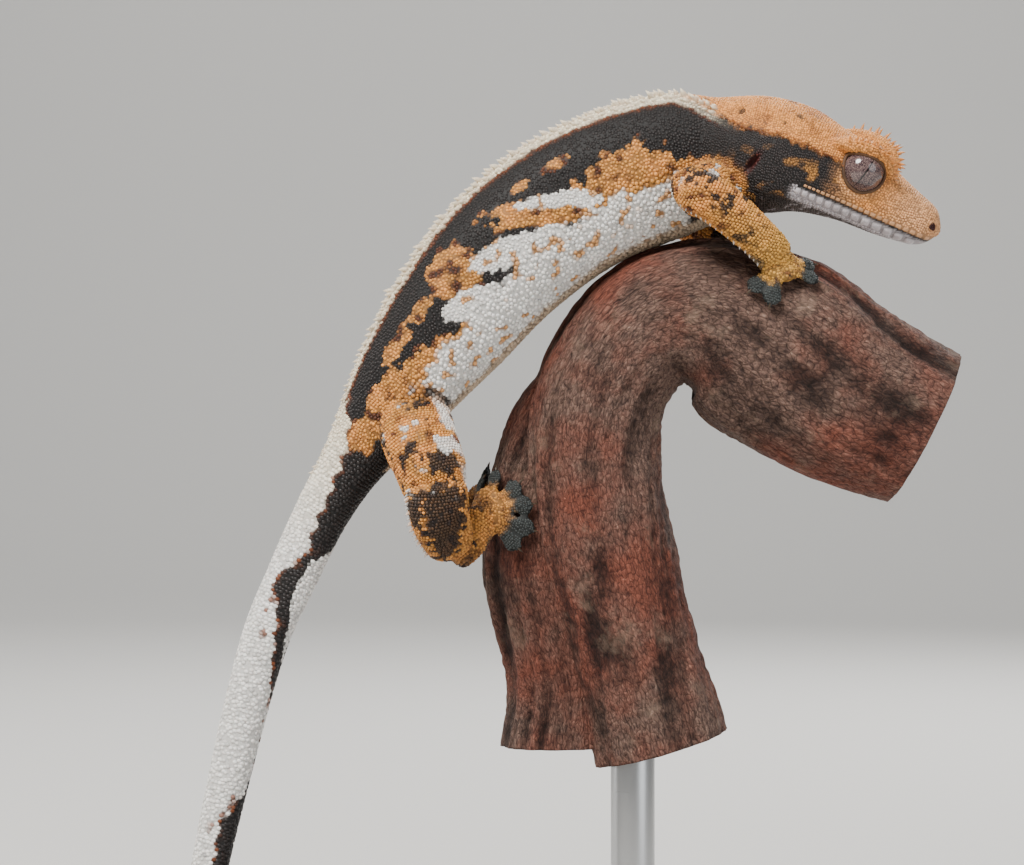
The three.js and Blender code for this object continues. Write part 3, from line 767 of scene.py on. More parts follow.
# %% The colour of the trunk and tail
# In order: dark ground, orange patches, white patches, belly, tail, and the cream back over them all.
def trunk_colours(points, run, degrees):
    right = degrees > 0
    around = np.abs(degrees)
    side_seed = np.where(right, 0.0, 40.0)[:, None]
    fine = field(points + side_seed, 1.1, 3.0)
    middle = field(points + side_seed, 3.2, 9.0)
    crest = np.degrees(crest_angle(run))
    colour = filled("charcoal", run) * (1 + 0.25 * fine)[:, None]

    wobble = 0.34 * middle + 0.34 * fine
    orange = patch_strength(run, around, ORANGE_PATCHES, wobble + 0.04)
    tone = 0.5 + 1.2 * middle + 0.9 * fine
    mottled = mixed(filled("orange", run), COLOURS["crown"], 0.7 * tone)
    rusty = field(points + side_seed, 1.7, 44.0) + 0.5 * fine - 0.04
    mottled = mixed(mottled, COLOURS["rust"] * 0.4, 2.2 * rusty)
    colour = mixed(colour, mottled, smoothstep(0.0, 0.06, orange))
    white = patch_strength(run, around, WHITE_PATCHES, 0.7 * wobble)
    low = smoothstep(103, 106, around + 9 * middle + 5 * fine) * (1 - smoothstep(75, 77, run + 5 * middle))
    white = np.maximum(smoothstep(0.02, 0.08, white), low) * smoothstep(17, 21, run + 4 * middle)
    edge_fleck = smoothstep(0.28, 0.4, field(points + side_seed, 1.6, 91.0) + 0.35 * fine + 0.25 * middle)
    pale = mixed(filled("white", run), COLOURS["orange"], 0.9 * edge_fleck)
    colour = mixed(colour, pale, white)
    under = smoothstep(150, 158, around + 5 * middle)
    colour = mixed(colour, COLOURS["belly"], under * (run < 90))

    tail = smoothstep(80.0, 80.6, run + 1.5 * middle)
    shift = np.where(right, 0.0, 5.0)
    pale_to = np.interp(run + shift, TAIL_PALE["run"], TAIL_PALE["degrees"])
    pale_to = pale_to + 5 * middle + 5 * np.sin(run * 1.9)
    strip_from = np.interp(run + shift, TAIL_STRIP["run"], TAIL_STRIP["degrees"]) + 5 * middle
    tail_pale = 1 - smoothstep(pale_to, pale_to + 2, around)
    border = np.exp(-(((around - pale_to - 1) / 4.5) ** 2))
    tail_dark = mixed(colour, COLOURS["charcoal"], smoothstep(90, 91, run + 2 * middle))
    tail_colour = mixed(tail_dark, COLOURS["rust"] * 0.8, border)
    pale = mixed(filled("cream", run), COLOURS["white"], smoothstep(84, 112, run))
    tail_colour = mixed(tail_colour, pale, tail_pale)
    tail_colour = mixed(tail_colour, COLOURS["white"], smoothstep(strip_from, strip_from + 3, around))
    spots = smoothstep(0.34, 0.42, field(points, 2.0, 60.0) + 0.2 * fine)
    spots = spots * smoothstep(104, 108, run) * np.exp(-(((around - pale_to + 14) / 22) ** 2))
    tail_colour = mixed(tail_colour, COLOURS["rust"], 0.9 * spots)
    colour = mixed(colour, tail_colour, tail)

    line = (around - crest) / 5
    on_back = 1 - smoothstep(84, 85, run)
    colour = mixed(colour, COLOURS["rust"] * 0.7, on_back * smoothstep(2.6, 1.7, line + 0.4 * fine))
    colour = mixed(colour, COLOURS["cream"], on_back * smoothstep(1.7, 1.2, line + 0.35 * fine))
    saddle = smoothstep(0.35, 0.5, field(points, 5.0, 77.0)) * smoothstep(-1.0, -2.0, line)
    colour = mixed(colour, COLOURS["tan"], 0.6 * on_back * saddle)
    nape = smoothstep(-0.7, -1.0, line) * smoothstep(17.5, 15.5, run + 1.2 * middle)
    return mixed(colour, COLOURS["crown"], nape)


# %% The colour of the head
MOUTH = {"behind": 22, "height": -2.9, "rise": 2.1}
MOUTH_LINE = np.array([-1.0, 0, 0.095])
NOSTRIL = {"behind": 1.5, "height": -0.3}


def mouth_height(behind):
    return MOUTH["height"] + MOUTH["rise"] * np.asarray(behind) / MOUTH["behind"]


def temple_edge(behind):
    """The height on the head of the line between the orange crown and the dark temple."""
    return np.interp(behind, [0, 8, 14, 18, 23, 28, 34, 40], [-4, -4, 0.5, 4.6, 5.1, 5.4, 4.4, 4.5])


# In order: crown, temple, lips, throat, the line of the mouth, nostril, ear and the rim of the eye.
def head_colours(points):
    behind, height, _ = head_place(points)
    fine = field(points, 0.9, 5.0)
    middle = field(points, 2.4, 15.0)
    crown = mixed(filled("crown", points), COLOURS["rust"], 0.55 * (middle + 0.4 * fine))
    front = smoothstep(13, 5, behind)
    crown = mixed(crown, COLOURS["snout"], 0.85 * front)
    blotch = smoothstep(0.2, 0.5, field(points, 3.6, 27.0) + 0.3 * fine) * smoothstep(16, 24, behind)
    crown = mixed(crown, COLOURS["rust"], 0.4 * blotch)
    spot = smoothstep(0.52, 0.6, field(points, 1.7, 33.0) + 0.1 * fine) * smoothstep(12, 20, behind)
    crown = mixed(crown, COLOURS["charcoal"], 0.8 * spot)
    edge = temple_edge(behind)
    below = smoothstep(0.7, -0.4, height - edge + 0.7 * fine + 0.4 * middle)
    temple = filled("temple", points) * (1 + 0.3 * fine)[:, None]
    streak = smoothstep(0.1, 0.35, middle * 0.6 + field(points * [0.4, 1, 1], 1.4, 8.0))
    streak = streak * smoothstep(36, 22, behind)
    streak = streak * smoothstep(4.5, 1.5, height) * smoothstep(-3.5, -1.5, height)
    temple = mixed(temple, COLOURS["orange"], 0.8 * streak)
    cheek = smoothstep(20, 14, behind + 1.5 * middle)
    temple = mixed(temple, COLOURS["tan"], cheek)
    colour = mixed(crown, temple, below * smoothstep(12, 16, behind))
    mouth = mouth_height(behind)
    lower = smoothstep(mouth + 0.3, mouth - 0.1, height)
    lips = mixed(filled("lip", points), COLOURS["throat"], smoothstep(-1.9, -2.7, height - mouth))
    flecks = smoothstep(0.15, 0.5, fine)
    lips = mixed(lips, COLOURS["lip"] * 0.8, 0.6 * flecks)
    colour = mixed(colour, lips, lower * smoothstep(24.4, 22.6, behind + 0.6 * middle))
    throat = mixed(filled("throat", points) * 0.8, COLOURS["lip"], 0.5 * flecks)
    colour = mixed(colour, throat, smoothstep(-3.5, -5.5, height) * smoothstep(21, 25, behind))
    gape = smoothstep(0.3, 0.15, np.abs(height - mouth)) * (behind < 23)
    colour = mixed(colour, COLOURS["throat"] * 0.3, gape)
    # Painted shade: the nostril has no hole in the skin, so a near black spot stands for the dark inside it.
    hole = np.hypot(behind - NOSTRIL["behind"], height - NOSTRIL["height"])
    colour = mixed(colour, COLOURS["ear"] * 0.3, smoothstep(0.6, 0.42, hole))
    for right in SIDES.values():
        colour = mixed(colour, COLOURS["ear"], 1.5 * ear_depth(points, right))
        rim = np.linalg.norm(points - eye_centre(right), axis=1) - EYE["radius"]
        lid = smoothstep(1.3, 0.8, rim) * smoothstep(EYE["height"], EYE["height"] - 2.5, height)
        colour = mixed(colour, COLOURS["tan"] * 1.5, 0.8 * lid)
        colour = mixed(colour, COLOURS["charcoal"], smoothstep(0.0, -0.2, rim))
    return colour


# %% The colour of the limbs
def limb_colours(points, name, share):
    """share runs from 0 at the body to 1 at the far end."""
    fine = field(points, 0.9, 12.0)
    middle = field(points, 2.6, 25.0)
    left = 30.0 if name.endswith("left") else 0.0
    dark_patch = smoothstep(0.2, 0.3, field(points + left, 3.6, 51.0) + 0.45 * fine)
    ground = mixed(filled("orange", points), COLOURS["crown"], 0.4 + 1.3 * middle)
    rusty = fine + 0.8 * field(points + left, 1.7, 19.0) - 0.05
    ground = mixed(ground, COLOURS["rust"] * 0.6, 1.5 * rusty)
    if name[:5] in ("shin_", "thigh", "inste"):
        knee = 1 - np.hypot((points[:, 0] + 19.4) / 3.2, (points[:, 2] - 100.5) / 6.4)
        dark_patch = np.maximum(dark_patch, smoothstep(0.0, 0.1, knee + 0.5 * fine + 0.4 * middle))
    if name.startswith("forearm"):
        ground = mixed(ground, COLOURS["yellow"], smoothstep(0.3, 0.9, share))
        dark_patch = dark_patch * (1 - smoothstep(0.5, 0.8, share))
    if name.startswith("instep"):
        dark_patch = np.maximum(dark_patch, smoothstep(0.5, 0.1, share))
    colour = mixed(ground, COLOURS["charcoal"], 0.92 * dark_patch)
    pale = smoothstep(0.34, 0.4, field(points + left, 3.0, 71.0) + 0.3 * fine)
    if name.startswith("thigh"):
        front = points[:, 0] + 0.38 * points[:, 2] - 24.8
        pale = np.maximum(pale, smoothstep(-0.6, 0.2, front + 2.2 * middle) * smoothstep(0.1, 0.3, share))
    return mixed(colour, COLOURS["white"], 0.9 * pale * (name[:5] in ("thigh", "upper")))


def foot_colours(points, reach_share, ground):
    """The ground colour on the palm, and dark toes. reach_share runs out along them."""
    fine = field(points, 0.8, 31.0)
    colour = mixed(filled(ground, points), COLOURS["rust"] * 0.6, 1.3 * (fine + 0.05))
    return mixed(colour, COLOURS["toe"] * 0.9, smoothstep(0.1, 0.45, reach_share + 0.2 * fine))


# %% [markdown]
# ## Which part a place belongs to
# The skin is one mesh, so each of its points asks which sweep it lies nearest to, and takes that
# part's colour. Along a border two parts blend by their distances, so no line shows at the shoulder.

# %% Part trees
def line_points(sweep, count):
    """Places on a sweep's line, its mean half size there and the shares of its length."""
    t = np.linspace(0, 1, count)
    size = smooth_curve(sweep.sizes, t).mean(axis=1) * np.maximum(sweep.drawn_in(t), 0.4)
    return smooth_curve(sweep.places, t), size, t


PARTS = {"head": head, "trunk": trunk, **limbs}
part_lines = {name: line_points(sweep, 160) for name, sweep in PARTS.items()}


def surface_distance(points, name):
    """Roughly how far points are from a part's surface, in mm, and where along it they are."""
    line, size, t = part_lines[name]
    best = np.full(len(points), 1e9)
    share = np.zeros(len(points))
    for k in range(len(line)):
        gap = np.linalg.norm(points - line[k], axis=1) - size[k]
        closer = gap < best
        best = np.where(closer, gap, best)
        share = np.where(closer, t[k], share)
    return best, share


def body_colours(points):
    """The colour of any place on the animal, in the same way for the skin and for each scale."""
    points = np.asarray(points, dtype=float)
    run, degrees = trunk_place(points)
    total = np.zeros((len(points), 3))
    weight = np.zeros(len(points))

    def lay(colour, gap, softness):
        nonlocal total, weight
        share = np.exp(-np.maximum(gap + 0.4, 0) / softness) + 1e-9
        total = total + colour * share[:, None]
        weight = weight + share

    gap, _ = surface_distance(points, "trunk")
    lay(trunk_colours(points, run, degrees), gap + 2.5 * smoothstep(10, 5, run), 0.3)
    gap, _ = surface_distance(points, "head")
    near = gap < 9
    colours = np.zeros((len(points), 3))
    colours[near] = head_colours(points[near])
    lay(colours, np.where(near, gap, 50), 0.35)
    for name in limbs:
        gap, share = surface_distance(points, name)
        near = gap < 2
        if near.any():
            colours = np.zeros((len(points), 3))
            colours[near] = limb_colours(points[near], name, share[near])
            lay(colours, np.where(near, gap - 0.3, 50), 0.3)
    for name, foot in feet.items():
        away = np.linalg.norm(points - foot.centre, axis=1)
        near = away < 9.5
        if near.any():
            palm = foot.palm["long"]
            colours = np.zeros((len(points), 3))
            ground = "yellow" if name.startswith("hand") else "orange"
            colours[near] = foot_colours(points[near], (away[near] - palm * 0.8) / palm, ground)
            low = np.sum((points - foot.centre) * foot.outward, axis=1)
            gap = np.where(near, np.maximum(low - 1.6, 0) + np.maximum(away - 8.5, 0), 50)
            lay(colours, gap - 0.4, 0.3)
    return total / weight[:, None]


skin_points = points_of(skin)
skin_paint = body_colours(skin_points)
# Painted shade: the skin shows only in the gaps between scales, so its colour is darkened, the more where
# the colour is dark.
set_colours(skin, skin_paint * (0.3 + 0.6 * skin_paint.mean(axis=1))[:, None])
print("skin painted at", len(skin_points), "points")

# %% [markdown]
# ## Scales
# A crested gecko's skin is covered in fine rounded granules, larger and rounder low on the flank, in
# rings round the tail and in tight rows on the toes. Each one is a small dome of eighteen triangles.
# They are laid in staggered rows round each sweep, moved on to the skin, and dropped where two parts
# meet. A particle system could strew them, but rows look grown, and a mesh survives the export.

# %% One scale and one spine
CORNERS = 6


def six_sided(low, middle, tip):
    """Points and faces of two rings and a tip. A ring is its radius, its shift and its height."""
    turns = np.arange(CORNERS) * 2 * np.pi / CORNERS
    ring = np.stack([np.cos(turns), np.sin(turns)], axis=1)
    points, faces = [], []
    for radius, shift, height in (low, middle):
        points.append(np.column_stack([ring * radius + [shift, 0], np.full(CORNERS, height)]))
    for k in range(CORNERS):
        nxt = (k + 1) % CORNERS
        upper, upper_nxt, top = CORNERS + k, CORNERS + nxt, 2 * CORNERS
        faces += [(k, nxt, upper), (nxt, upper_nxt, upper), (upper, upper_nxt, top)]
    return np.vstack([*points, [tip]]), np.array(faces)


SCALE = six_sided((0.56, 0, -0.16), (0.4, 0, 0.2), (0, 0, 0.3))
SPINE = six_sided((1, 0, -0.25), (0.62, 0.12, 0.45), (0.5, 0, 1.0))


def shades(rim, shoulder, top):
    """A number for each point of a six-sided form, the same round each ring."""
    return np.repeat([rim, shoulder, top], [CORNERS, CORNERS, 1])[None, :, None]


def stamped(name, template, place, axes, sizes, uv, patch):
    """One mesh of copies of a form. Each copy has its three directions, its three sizes and a small
    patch of the unwrap."""
    form, faces = template
    points = np.repeat(place[:, None], len(form), axis=1)
    for k in range(3):
        points = points + form[None, :, k, None] * sizes[k][:, None, None] * axes[k][:, None]
    first_point = np.arange(len(place))[:, None, None] * len(form)
    piece = mesh_piece(name, points.reshape(-1, 3), (faces[None] + first_point).reshape(-1, 3))
    set_uv(piece, (uv[:, None] + form[None, :, :2] * patch).reshape(-1, 2))
    return piece


# %% Rows of scales round a sweep
ROW_GAP = 0.88  # rows stand closer than the scales in a row, as the rows are staggered
UNEVEN = {"row": 0.14, "round": 0.13, "along": 0.14, "size": 0.07}
LOOK = np.linspace(0, 2 * np.pi, 97)


def scale_rows(sweep, pitch, start=0.0, end=1.0, seed=0):
    """Places, directions along the form, sizes and unwrap places for staggered rows of scales."""
    spread = np.random.default_rng(SEED + seed)
    t_table = np.linspace(max(start, 0.004), min(end, 0.996), 400)
    top, _ = sweep.surface(t_table, 0.0)
    side, _ = sweep.surface(t_table, np.pi / 2)
    under, _ = sweep.surface(t_table, np.pi)
    step = np.maximum.reduce([np.linalg.norm(np.diff(each, axis=0), axis=1) for each in (top, side, under)])
    run = np.concatenate([[0], np.cumsum(step)])
    rows = max(2, int(run[-1] / (pitch * ROW_GAP)))
    row_t = np.interp(np.linspace(0, run[-1], rows), run, t_table)
    places, alongs, unwrap = [], [], []
    for number, t in enumerate(row_t):
        ring, _ = sweep.surface(np.full(len(LOOK), t), LOOK)
        arc = np.concatenate([[0], np.cumsum(np.linalg.norm(np.diff(ring, axis=0), axis=1))])
        count = max(4, int(round(arc[-1] / pitch)))
        offset = 0.5 * (number % 2) + UNEVEN["row"] * spread.standard_normal()
        where = ((np.arange(count) + offset + UNEVEN["round"] * spread.standard_normal(count)) / count) % 1
        angle = np.interp(where * arc[-1], arc, LOOK)
        jitter = t + UNEVEN["along"] * (row_t[1] - row_t[0]) * spread.standard_normal(count)
        at = np.clip(jitter, 0.003, 0.997)
        place, along = sweep.surface(at, angle, -SKIN_DEPTH)
        places.append(place)
        alongs.append(along)
        unwrap.append(np.column_stack([at, angle / (2 * np.pi)]))
    size = pitch * (1 + UNEVEN["size"] * spread.standard_normal(sum(len(each) for each in places)))
    return np.vstack(places), np.vstack(alongs), size, np.vstack(unwrap)


# %% Lay the rows on every part
HEAD_PITCH, BODY_PITCH, FLANK_PITCH = 0.44, 0.56, 0.76
TAIL_PITCH, LIMB_PITCH, TOE_PITCH, PALM_PITCH = 0.68, 0.56, 0.42, 0.55
ATLAS = {}
TILES = 7
MARGIN = 0.006  # kept free round each square of the unwrap
SCALE_PATCH = 0.003  # how wide the unwrap of one scale is
LOOSE = 1.0  # a scale that moves further than this on to the skin lies inside another part, in mm


def atlas_tile(name):
    """Each part has its own square of the unwrap, on a grid of seven by seven."""
    number = ATLAS.setdefault(name, len(ATLAS))
    return np.array([number % TILES, number // TILES]) / TILES


def gathered(rows):
    """Joins tables that have the same columns, column by column."""
    return [np.concatenate(column) for column in zip(*rows)]


def coat_rows(name, sweep, pitch, seed, keep=None, start=0.0, end=1.0):
    """Columns of places on the skin, normals, directions along, sizes and unwrap places."""
    places, alongs, size, unwrap = scale_rows(sweep, pitch, start, end, seed)
    skin_place, normal, away = on_skin(places)
    good = away < LOOSE
    if keep is not None:
        good &= keep(skin_place)
    uv = unwrap * (1 / TILES - 2 * MARGIN) + atlas_tile(name) + MARGIN
    return [each[good] for each in (skin_place, normal, alongs, size, uv)]


def low_flank(points):
    run, degrees = trunk_place(points)
    return (np.abs(degrees) > 98) & (run > 16) & (run < 86)


def not_in_eye_or_ear(points):
    clear = np.ones(len(points), dtype=bool)
    behind, height, _ = head_place(points)
    for right in SIDES.values():
        clear &= np.linalg.norm(points - eye_centre(right), axis=1) > EYE["radius"] - 0.2
        clear &= ear_depth(points, right) < 0.45
    on_lip = (behind < 22.5) & (height < mouth_height(behind) + 0.9) & (height > mouth_height(behind) - 1.7)
    return clear & ~on_lip


def high_side(points, right):
    _, degrees = trunk_place(points)
    return ~low_flank(points) & not_in_eye_or_ear(points) & ((degrees > 0) == (right > 0))


TAIL_START = float(trunk.t_of_run(90))
coat = {
    "scales_head": [coat_rows("head", head, HEAD_PITCH, 1, not_in_eye_or_ear, end=0.98)]
    + [coat_rows("brow_" + side, each, HEAD_PITCH, 2, not_in_eye_or_ear) for side, each in brows.items()],
    "scales_back_right": [
        coat_rows("trunk", trunk, BODY_PITCH, 3, lambda points: high_side(points, 1), end=TAIL_START)
    ],
    "scales_back_left": [
        coat_rows("trunk", trunk, BODY_PITCH, 3, lambda points: high_side(points, -1), end=TAIL_START)
    ],
    "scales_flank": [coat_rows("trunk", trunk, FLANK_PITCH, 4, low_flank, end=TAIL_START)],
    "scales_tail": [coat_rows("trunk", trunk, TAIL_PITCH, 5, None, start=TAIL_START)],
    "scales_arms": [
        coat_rows(name, each, LIMB_PITCH, 6) for name, each in limbs.items() if "arm" in name
    ],
    "scales_legs": [
        coat_rows(name, each, LIMB_PITCH, 7) for name, each in limbs.items() if "arm" not in name
    ],
}
coat["scales_toes"] = [
    coat_rows(f"{name}_{number}", toe, TOE_PITCH, 8 + number)
    for name, foot in feet.items()
    for number, toe in enumerate(foot.toes)
]
coat = {name: gathered(rows) for name, rows in coat.items()}


# %% The backs of the hands and feet
def palm_scales(foot, pitch):
    """Scales strewn evenly over the back of a hand or foot."""
    points, faces = foot.palm_shell(-SKIN_DEPTH)
    corners = points[faces]
    normal = np.cross(corners[:, 1] - corners[:, 0], corners[:, 2] - corners[:, 0])
    area = np.linalg.norm(normal, axis=1) / 2
    count = int(area.sum() / (pitch * pitch * 0.5))
    pick = rng.choice(len(area), count, p=area / area.sum())
    u, v = rng.random((2, count))
    flip = u + v > 1
    u, v = np.where(flip, 1 - u, u), np.where(flip, 1 - v, v)
    a, b, c = corners[pick].transpose(1, 0, 2)
    places = a + (b - a) * u[:, None] + (c - a) * v[:, None]
    skin_place, out, away = on_skin(places)
    good = away < 0.45
    forward = np.broadcast_to(foot.spot(foot.palm["bearing"], 3, 1) - foot.centre, places.shape)
    uv = np.column_stack([u, v]) * 0.12 + atlas_tile("palms") + 0.01
    size = np.full(count, pitch)
    return [each[good] for each in (skin_place, out, forward, size, uv)]


palms = gathered([palm_scales(foot, PALM_PITCH) for foot in feet.values()])
coat["scales_toes"] = gathered([coat["scales_toes"], palms])


# %% Drop the scales that crowd each other, then build the pieces
CROWDED = 0.66  # the least distance between two scales, as a share of their size


def thinned(coat):
    """Keeps the first of any two scales that stand closer than most of a pitch."""
    everything = np.vstack([rows[0] for rows in coat.values()])
    sizes = np.concatenate([rows[3] for rows in coat.values()])
    tree = KDTree(len(everything))
    listed = everything.tolist()
    for number, point in enumerate(listed):
        tree.insert(point, number)
    tree.balance()
    keep = np.ones(len(everything), dtype=bool)
    for number, point in enumerate(listed):
        if keep[number]:
            for _, other, _ in tree.find_range(point, sizes[number] * CROWDED):
                if other > number:
                    keep[other] = False
    kept, start = {}, 0
    for name, rows in coat.items():
        good = keep[start : start + len(rows[0])]
        start += len(rows[0])
        kept[name] = [each[good] for each in rows]
    return kept


HEIGHTS = {"scales_arms": 1.6, "scales_legs": 1.6, "scales_flank": 1.15, "scales_tail": 0.8}
WIDTHS = {"scales_tail": 1.25}
# Painted shade and painted highlight: the rim of each scale, down in the groove, gets 0.3 of its colour and
# the top 1.12.
SCALE_SHADE_AND_HIGHLIGHT = shades(0.3, 0.95, 1.12)  # grooves between scales are darker than their tops
TONES = 0.13  # how much the scales differ from each other in brightness
scale_pieces = {}
for name, (place, normal, along, size, uv) in thinned(coat).items():
    along = level(along, normal)
    axes = along, np.cross(normal, along), normal
    sizes = size, size * WIDTHS.get(name, 1.0), size * HEIGHTS.get(name, 1.0)
    piece = stamped(name, SCALE, place, axes, sizes, uv, SCALE_PATCH)
    colours = body_colours(place) * (1 + TONES * rng.standard_normal(len(place)))[:, None]
    # Painted shade in the grooves and a painted highlight on each top.
    set_colours(piece, np.clip((colours[:, None] * SCALE_SHADE_AND_HIGHLIGHT).reshape(-1, 3), 0, 1))
    scale_pieces[name] = piece
    print(name, len(place), "scales", len(piece.data.polygons), "triangles")

# %% [markdown]
# ## Crests, brows and lips
# The crests are rows of pointed scales. Each spine is a cone with a bent tip, rooted in the skin and
# leaning back along the body. Over each eye they grow as long as lashes. The lips carry rows of
# larger plates that get shorter towards the corner of the mouth.

# %% A row of spines
TIP_SHADES = shades(0.0, 0.55, 1.0)
SPINE_PATCH = 0.0015


def spines(name, rows, colours, tip_colour):
    """One joined mesh of spines. rows are roots, outward directions, directions that the tips bend
    towards, radii and heights."""
    place, out, lean, radius, height = rows
    out = unit(out)
    lean = level(lean, out)
    run, degrees = trunk_place(place)
    uv = np.column_stack([run / 200, (degrees + 180) / 360]) * 0.13 + atlas_tile(name) + MARGIN
    axes = lean, np.cross(out, lean), out
    piece = stamped(name, SPINE, place, axes, (radius, radius * 0.8, height), uv, SPINE_PATCH)
    paint = colours[:, None] * (1 - TIP_SHADES) + np.asarray(tip_colour) * TIP_SHADES
    set_colours(piece, np.clip(paint.reshape(-1, 3), 0, 1))
    return piece


# %% The crests of the back, head and brows
def rooted(sweep, t, angle):
    """Places on the skin over a sweep, the normals there and the directions along."""
    place, along = sweep.surface(t, angle, -SKIN_DEPTH)
    skin_place, normal, _ = on_skin(place)
    return skin_place, normal, along


CLEARANCE = 0.05  # between the tallest spines and the top of the CAD model's box, in mm


def crest_rows():
    """Three close rows of granules on each ridge, the middle one tallest."""
    rows = []
    for right in SIDES.values():
        for row, (offset, tall) in enumerate([(-5.5, 0.62), (0, 1.0), (5.5, 0.6)]):
            run = np.arange(12 + 0.3 * row, 97, 0.95)
            run = run + 0.2 * rng.standard_normal(len(run))
            angle = (crest_angle(run) + math.radians(offset)) * right
            angle = angle + np.radians(1.2) * rng.standard_normal(len(run))
            place, normal, along = rooted(trunk, trunk.t_of_run(run), angle)
            fade = np.clip((100 - run) / 34, 0.45, 1)
            size = fade * (0.8 + 0.45 * rng.random(len(run)))
            big = (rng.random(len(run)) > 0.7) * (row == 1)
            out = normal + along * 0.35
            height = (1.15 + 0.5 * big) * size * tall
            room = cad_box[1][2] / MM - place[:, 2] - CLEARANCE
            height = np.minimum(height, room / np.maximum(unit(out)[:, 2], 0.2))
            rows.append((place, out, along, 0.52 * size * (1 + 0.15 * big), height))
    return gathered(rows)


rows = crest_rows()
crest_paint = mixed(body_colours(rows[0]) * 0.8, COLOURS["rust"], np.full(len(rows[0]), 0.3))
crest = spines("crest_spines", rows, crest_paint, COLOURS["cream"])


def on_head_side(behind, height, right):
    """The place on the skin straight in from the side at a distance behind the snout and a height."""
    start = on_head(behind, height, right * 14.0)
    inward = HEAD_TURN @ np.array([0, right * 1.0, 0])
    hit = skin_tree.ray_cast(start.tolist(), inward.tolist())
    if hit[0] is None:
        return None, None
    return np.array(hit[0][:]), np.array(hit[1][:])


def head_crest():
    """Two rows of low spines on the line between the crown and each temple."""
    rows = []
    back = HEAD_TURN @ np.array([-1.0, 0, 0])
    for right in SIDES.values():
        for offset, tall in ((0.0, 1.0), (0.35, 0.7)):
            for behind in np.arange(17.5 + offset, 38, 0.72):
                height = temple_edge(behind) + offset + 0.12 * rng.standard_normal()
                place, normal = on_head_side(behind, height, right)
                if place is None:
                    continue
                size = 0.75 + 0.4 * rng.random()
                rows.append((place, normal + 0.5 * back, back, 0.3 * size, 0.7 * size * tall))
    return [np.array(column) for column in zip(*rows)]


rows = head_crest()
head_spines = spines("head_spines", rows, body_colours(rows[0]), COLOURS["rust"] * 0.75)


def brow_lashes():
    """Two rows of long spines that point forwards over each eye."""
    rows = []
    for side, right in SIDES.items():
        t = np.linspace(0.12, 0.84, 14)
        t = t + 0.012 * rng.standard_normal(len(t))
        for degrees, tall in ((38, 1.0), (62, 0.72)):
            place, normal, along = rooted(brows[side], t, math.radians(degrees) * right)
            size = 0.7 + 0.6 * rng.random(len(t))
            rows.append((place, normal - along * 0.12, -along, 0.3 * size**0.5, 1.2 * size * tall))
    return gathered(rows)


rows = brow_lashes()
lash_paint = mixed(body_colours(rows[0]), COLOURS["rust"], np.full(len(rows[0]), 0.6))
lashes = spines("brow_spines", rows, lash_paint, COLOURS["crown"])


# %% White fringe on the rear edge of each shin and the lower edge of each forearm
def fringe():
    rows = []
    for name, axis in (("shin_right", 0), ("shin_left", 0), ("forearm_right", 2), ("forearm_left", 2)):
        for t in np.arange(0.12, 0.86, 0.05):
            sides = [rooted(limbs[name], np.array([t]), turned) for turned in (np.pi / 2, -np.pi / 2)]
            place, normal, along = min(sides, key=lambda found: found[0][0][axis])
            rows.append((place, normal + 0.3 * along, along))
    return gathered(rows)


roots, outs, leans = fringe()
sizes = (0.8 + 0.4 * rng.random(len(roots))) * np.where(roots[:, 2] > 125, 0.62, 1.0)
rows = roots, outs, leans, 0.42 * sizes, sizes
fringe_piece = spines("leg_fringe", rows, body_colours(roots), COLOURS["white"])


# %% [markdown]
# The lip plates are pillows: a grid pressed into a dome with square sides. Each is laid along the line
# of the mouth, a little apart from its neighbours, and its low rim is painted darker as painted shade, so
# that the joints between them read as fine lines.

# %% Lip plates
def pillow(cells=7):
    """Points and faces of a dome over a square with rounded corners, one unit across."""
    ticks = np.linspace(-1, 1, cells)
    across, tall = np.meshgrid(ticks, ticks)
    across, tall = across.ravel(), tall.ravel()
    radius = (np.abs(across) ** 2.6 + np.abs(tall) ** 2.6) ** (1 / 2.6)
    rise = np.clip(1 - radius**3, 0, None) ** 0.5
    points = np.column_stack([across * 0.5, tall * 0.5, rise - 0.35])
    faces = []
    for row in range(cells - 1):
        for column in range(cells - 1):
            a = row * cells + column
            faces += [(a, a + 1, a + cells), (a + 1, a + cells + 1, a + cells)]
    return points, np.array(faces)


# Rows of plates: height from the line of the mouth, how tall, long and deep a plate is, its colour, how
# light it is, and how far behind the snout the row ends. The lower lip's main row comes first.
LIP_ROWS = [
    (-1.15, 2.05, 1.95, 0.4, "lip", 1.0, 22.5),
    (0.52, 0.85, 1.15, 0.22, "snout", 0.92, 21.5),
    (-2.45, 0.75, 0.85, 0.2, "lip", 0.8, 23.5),
]


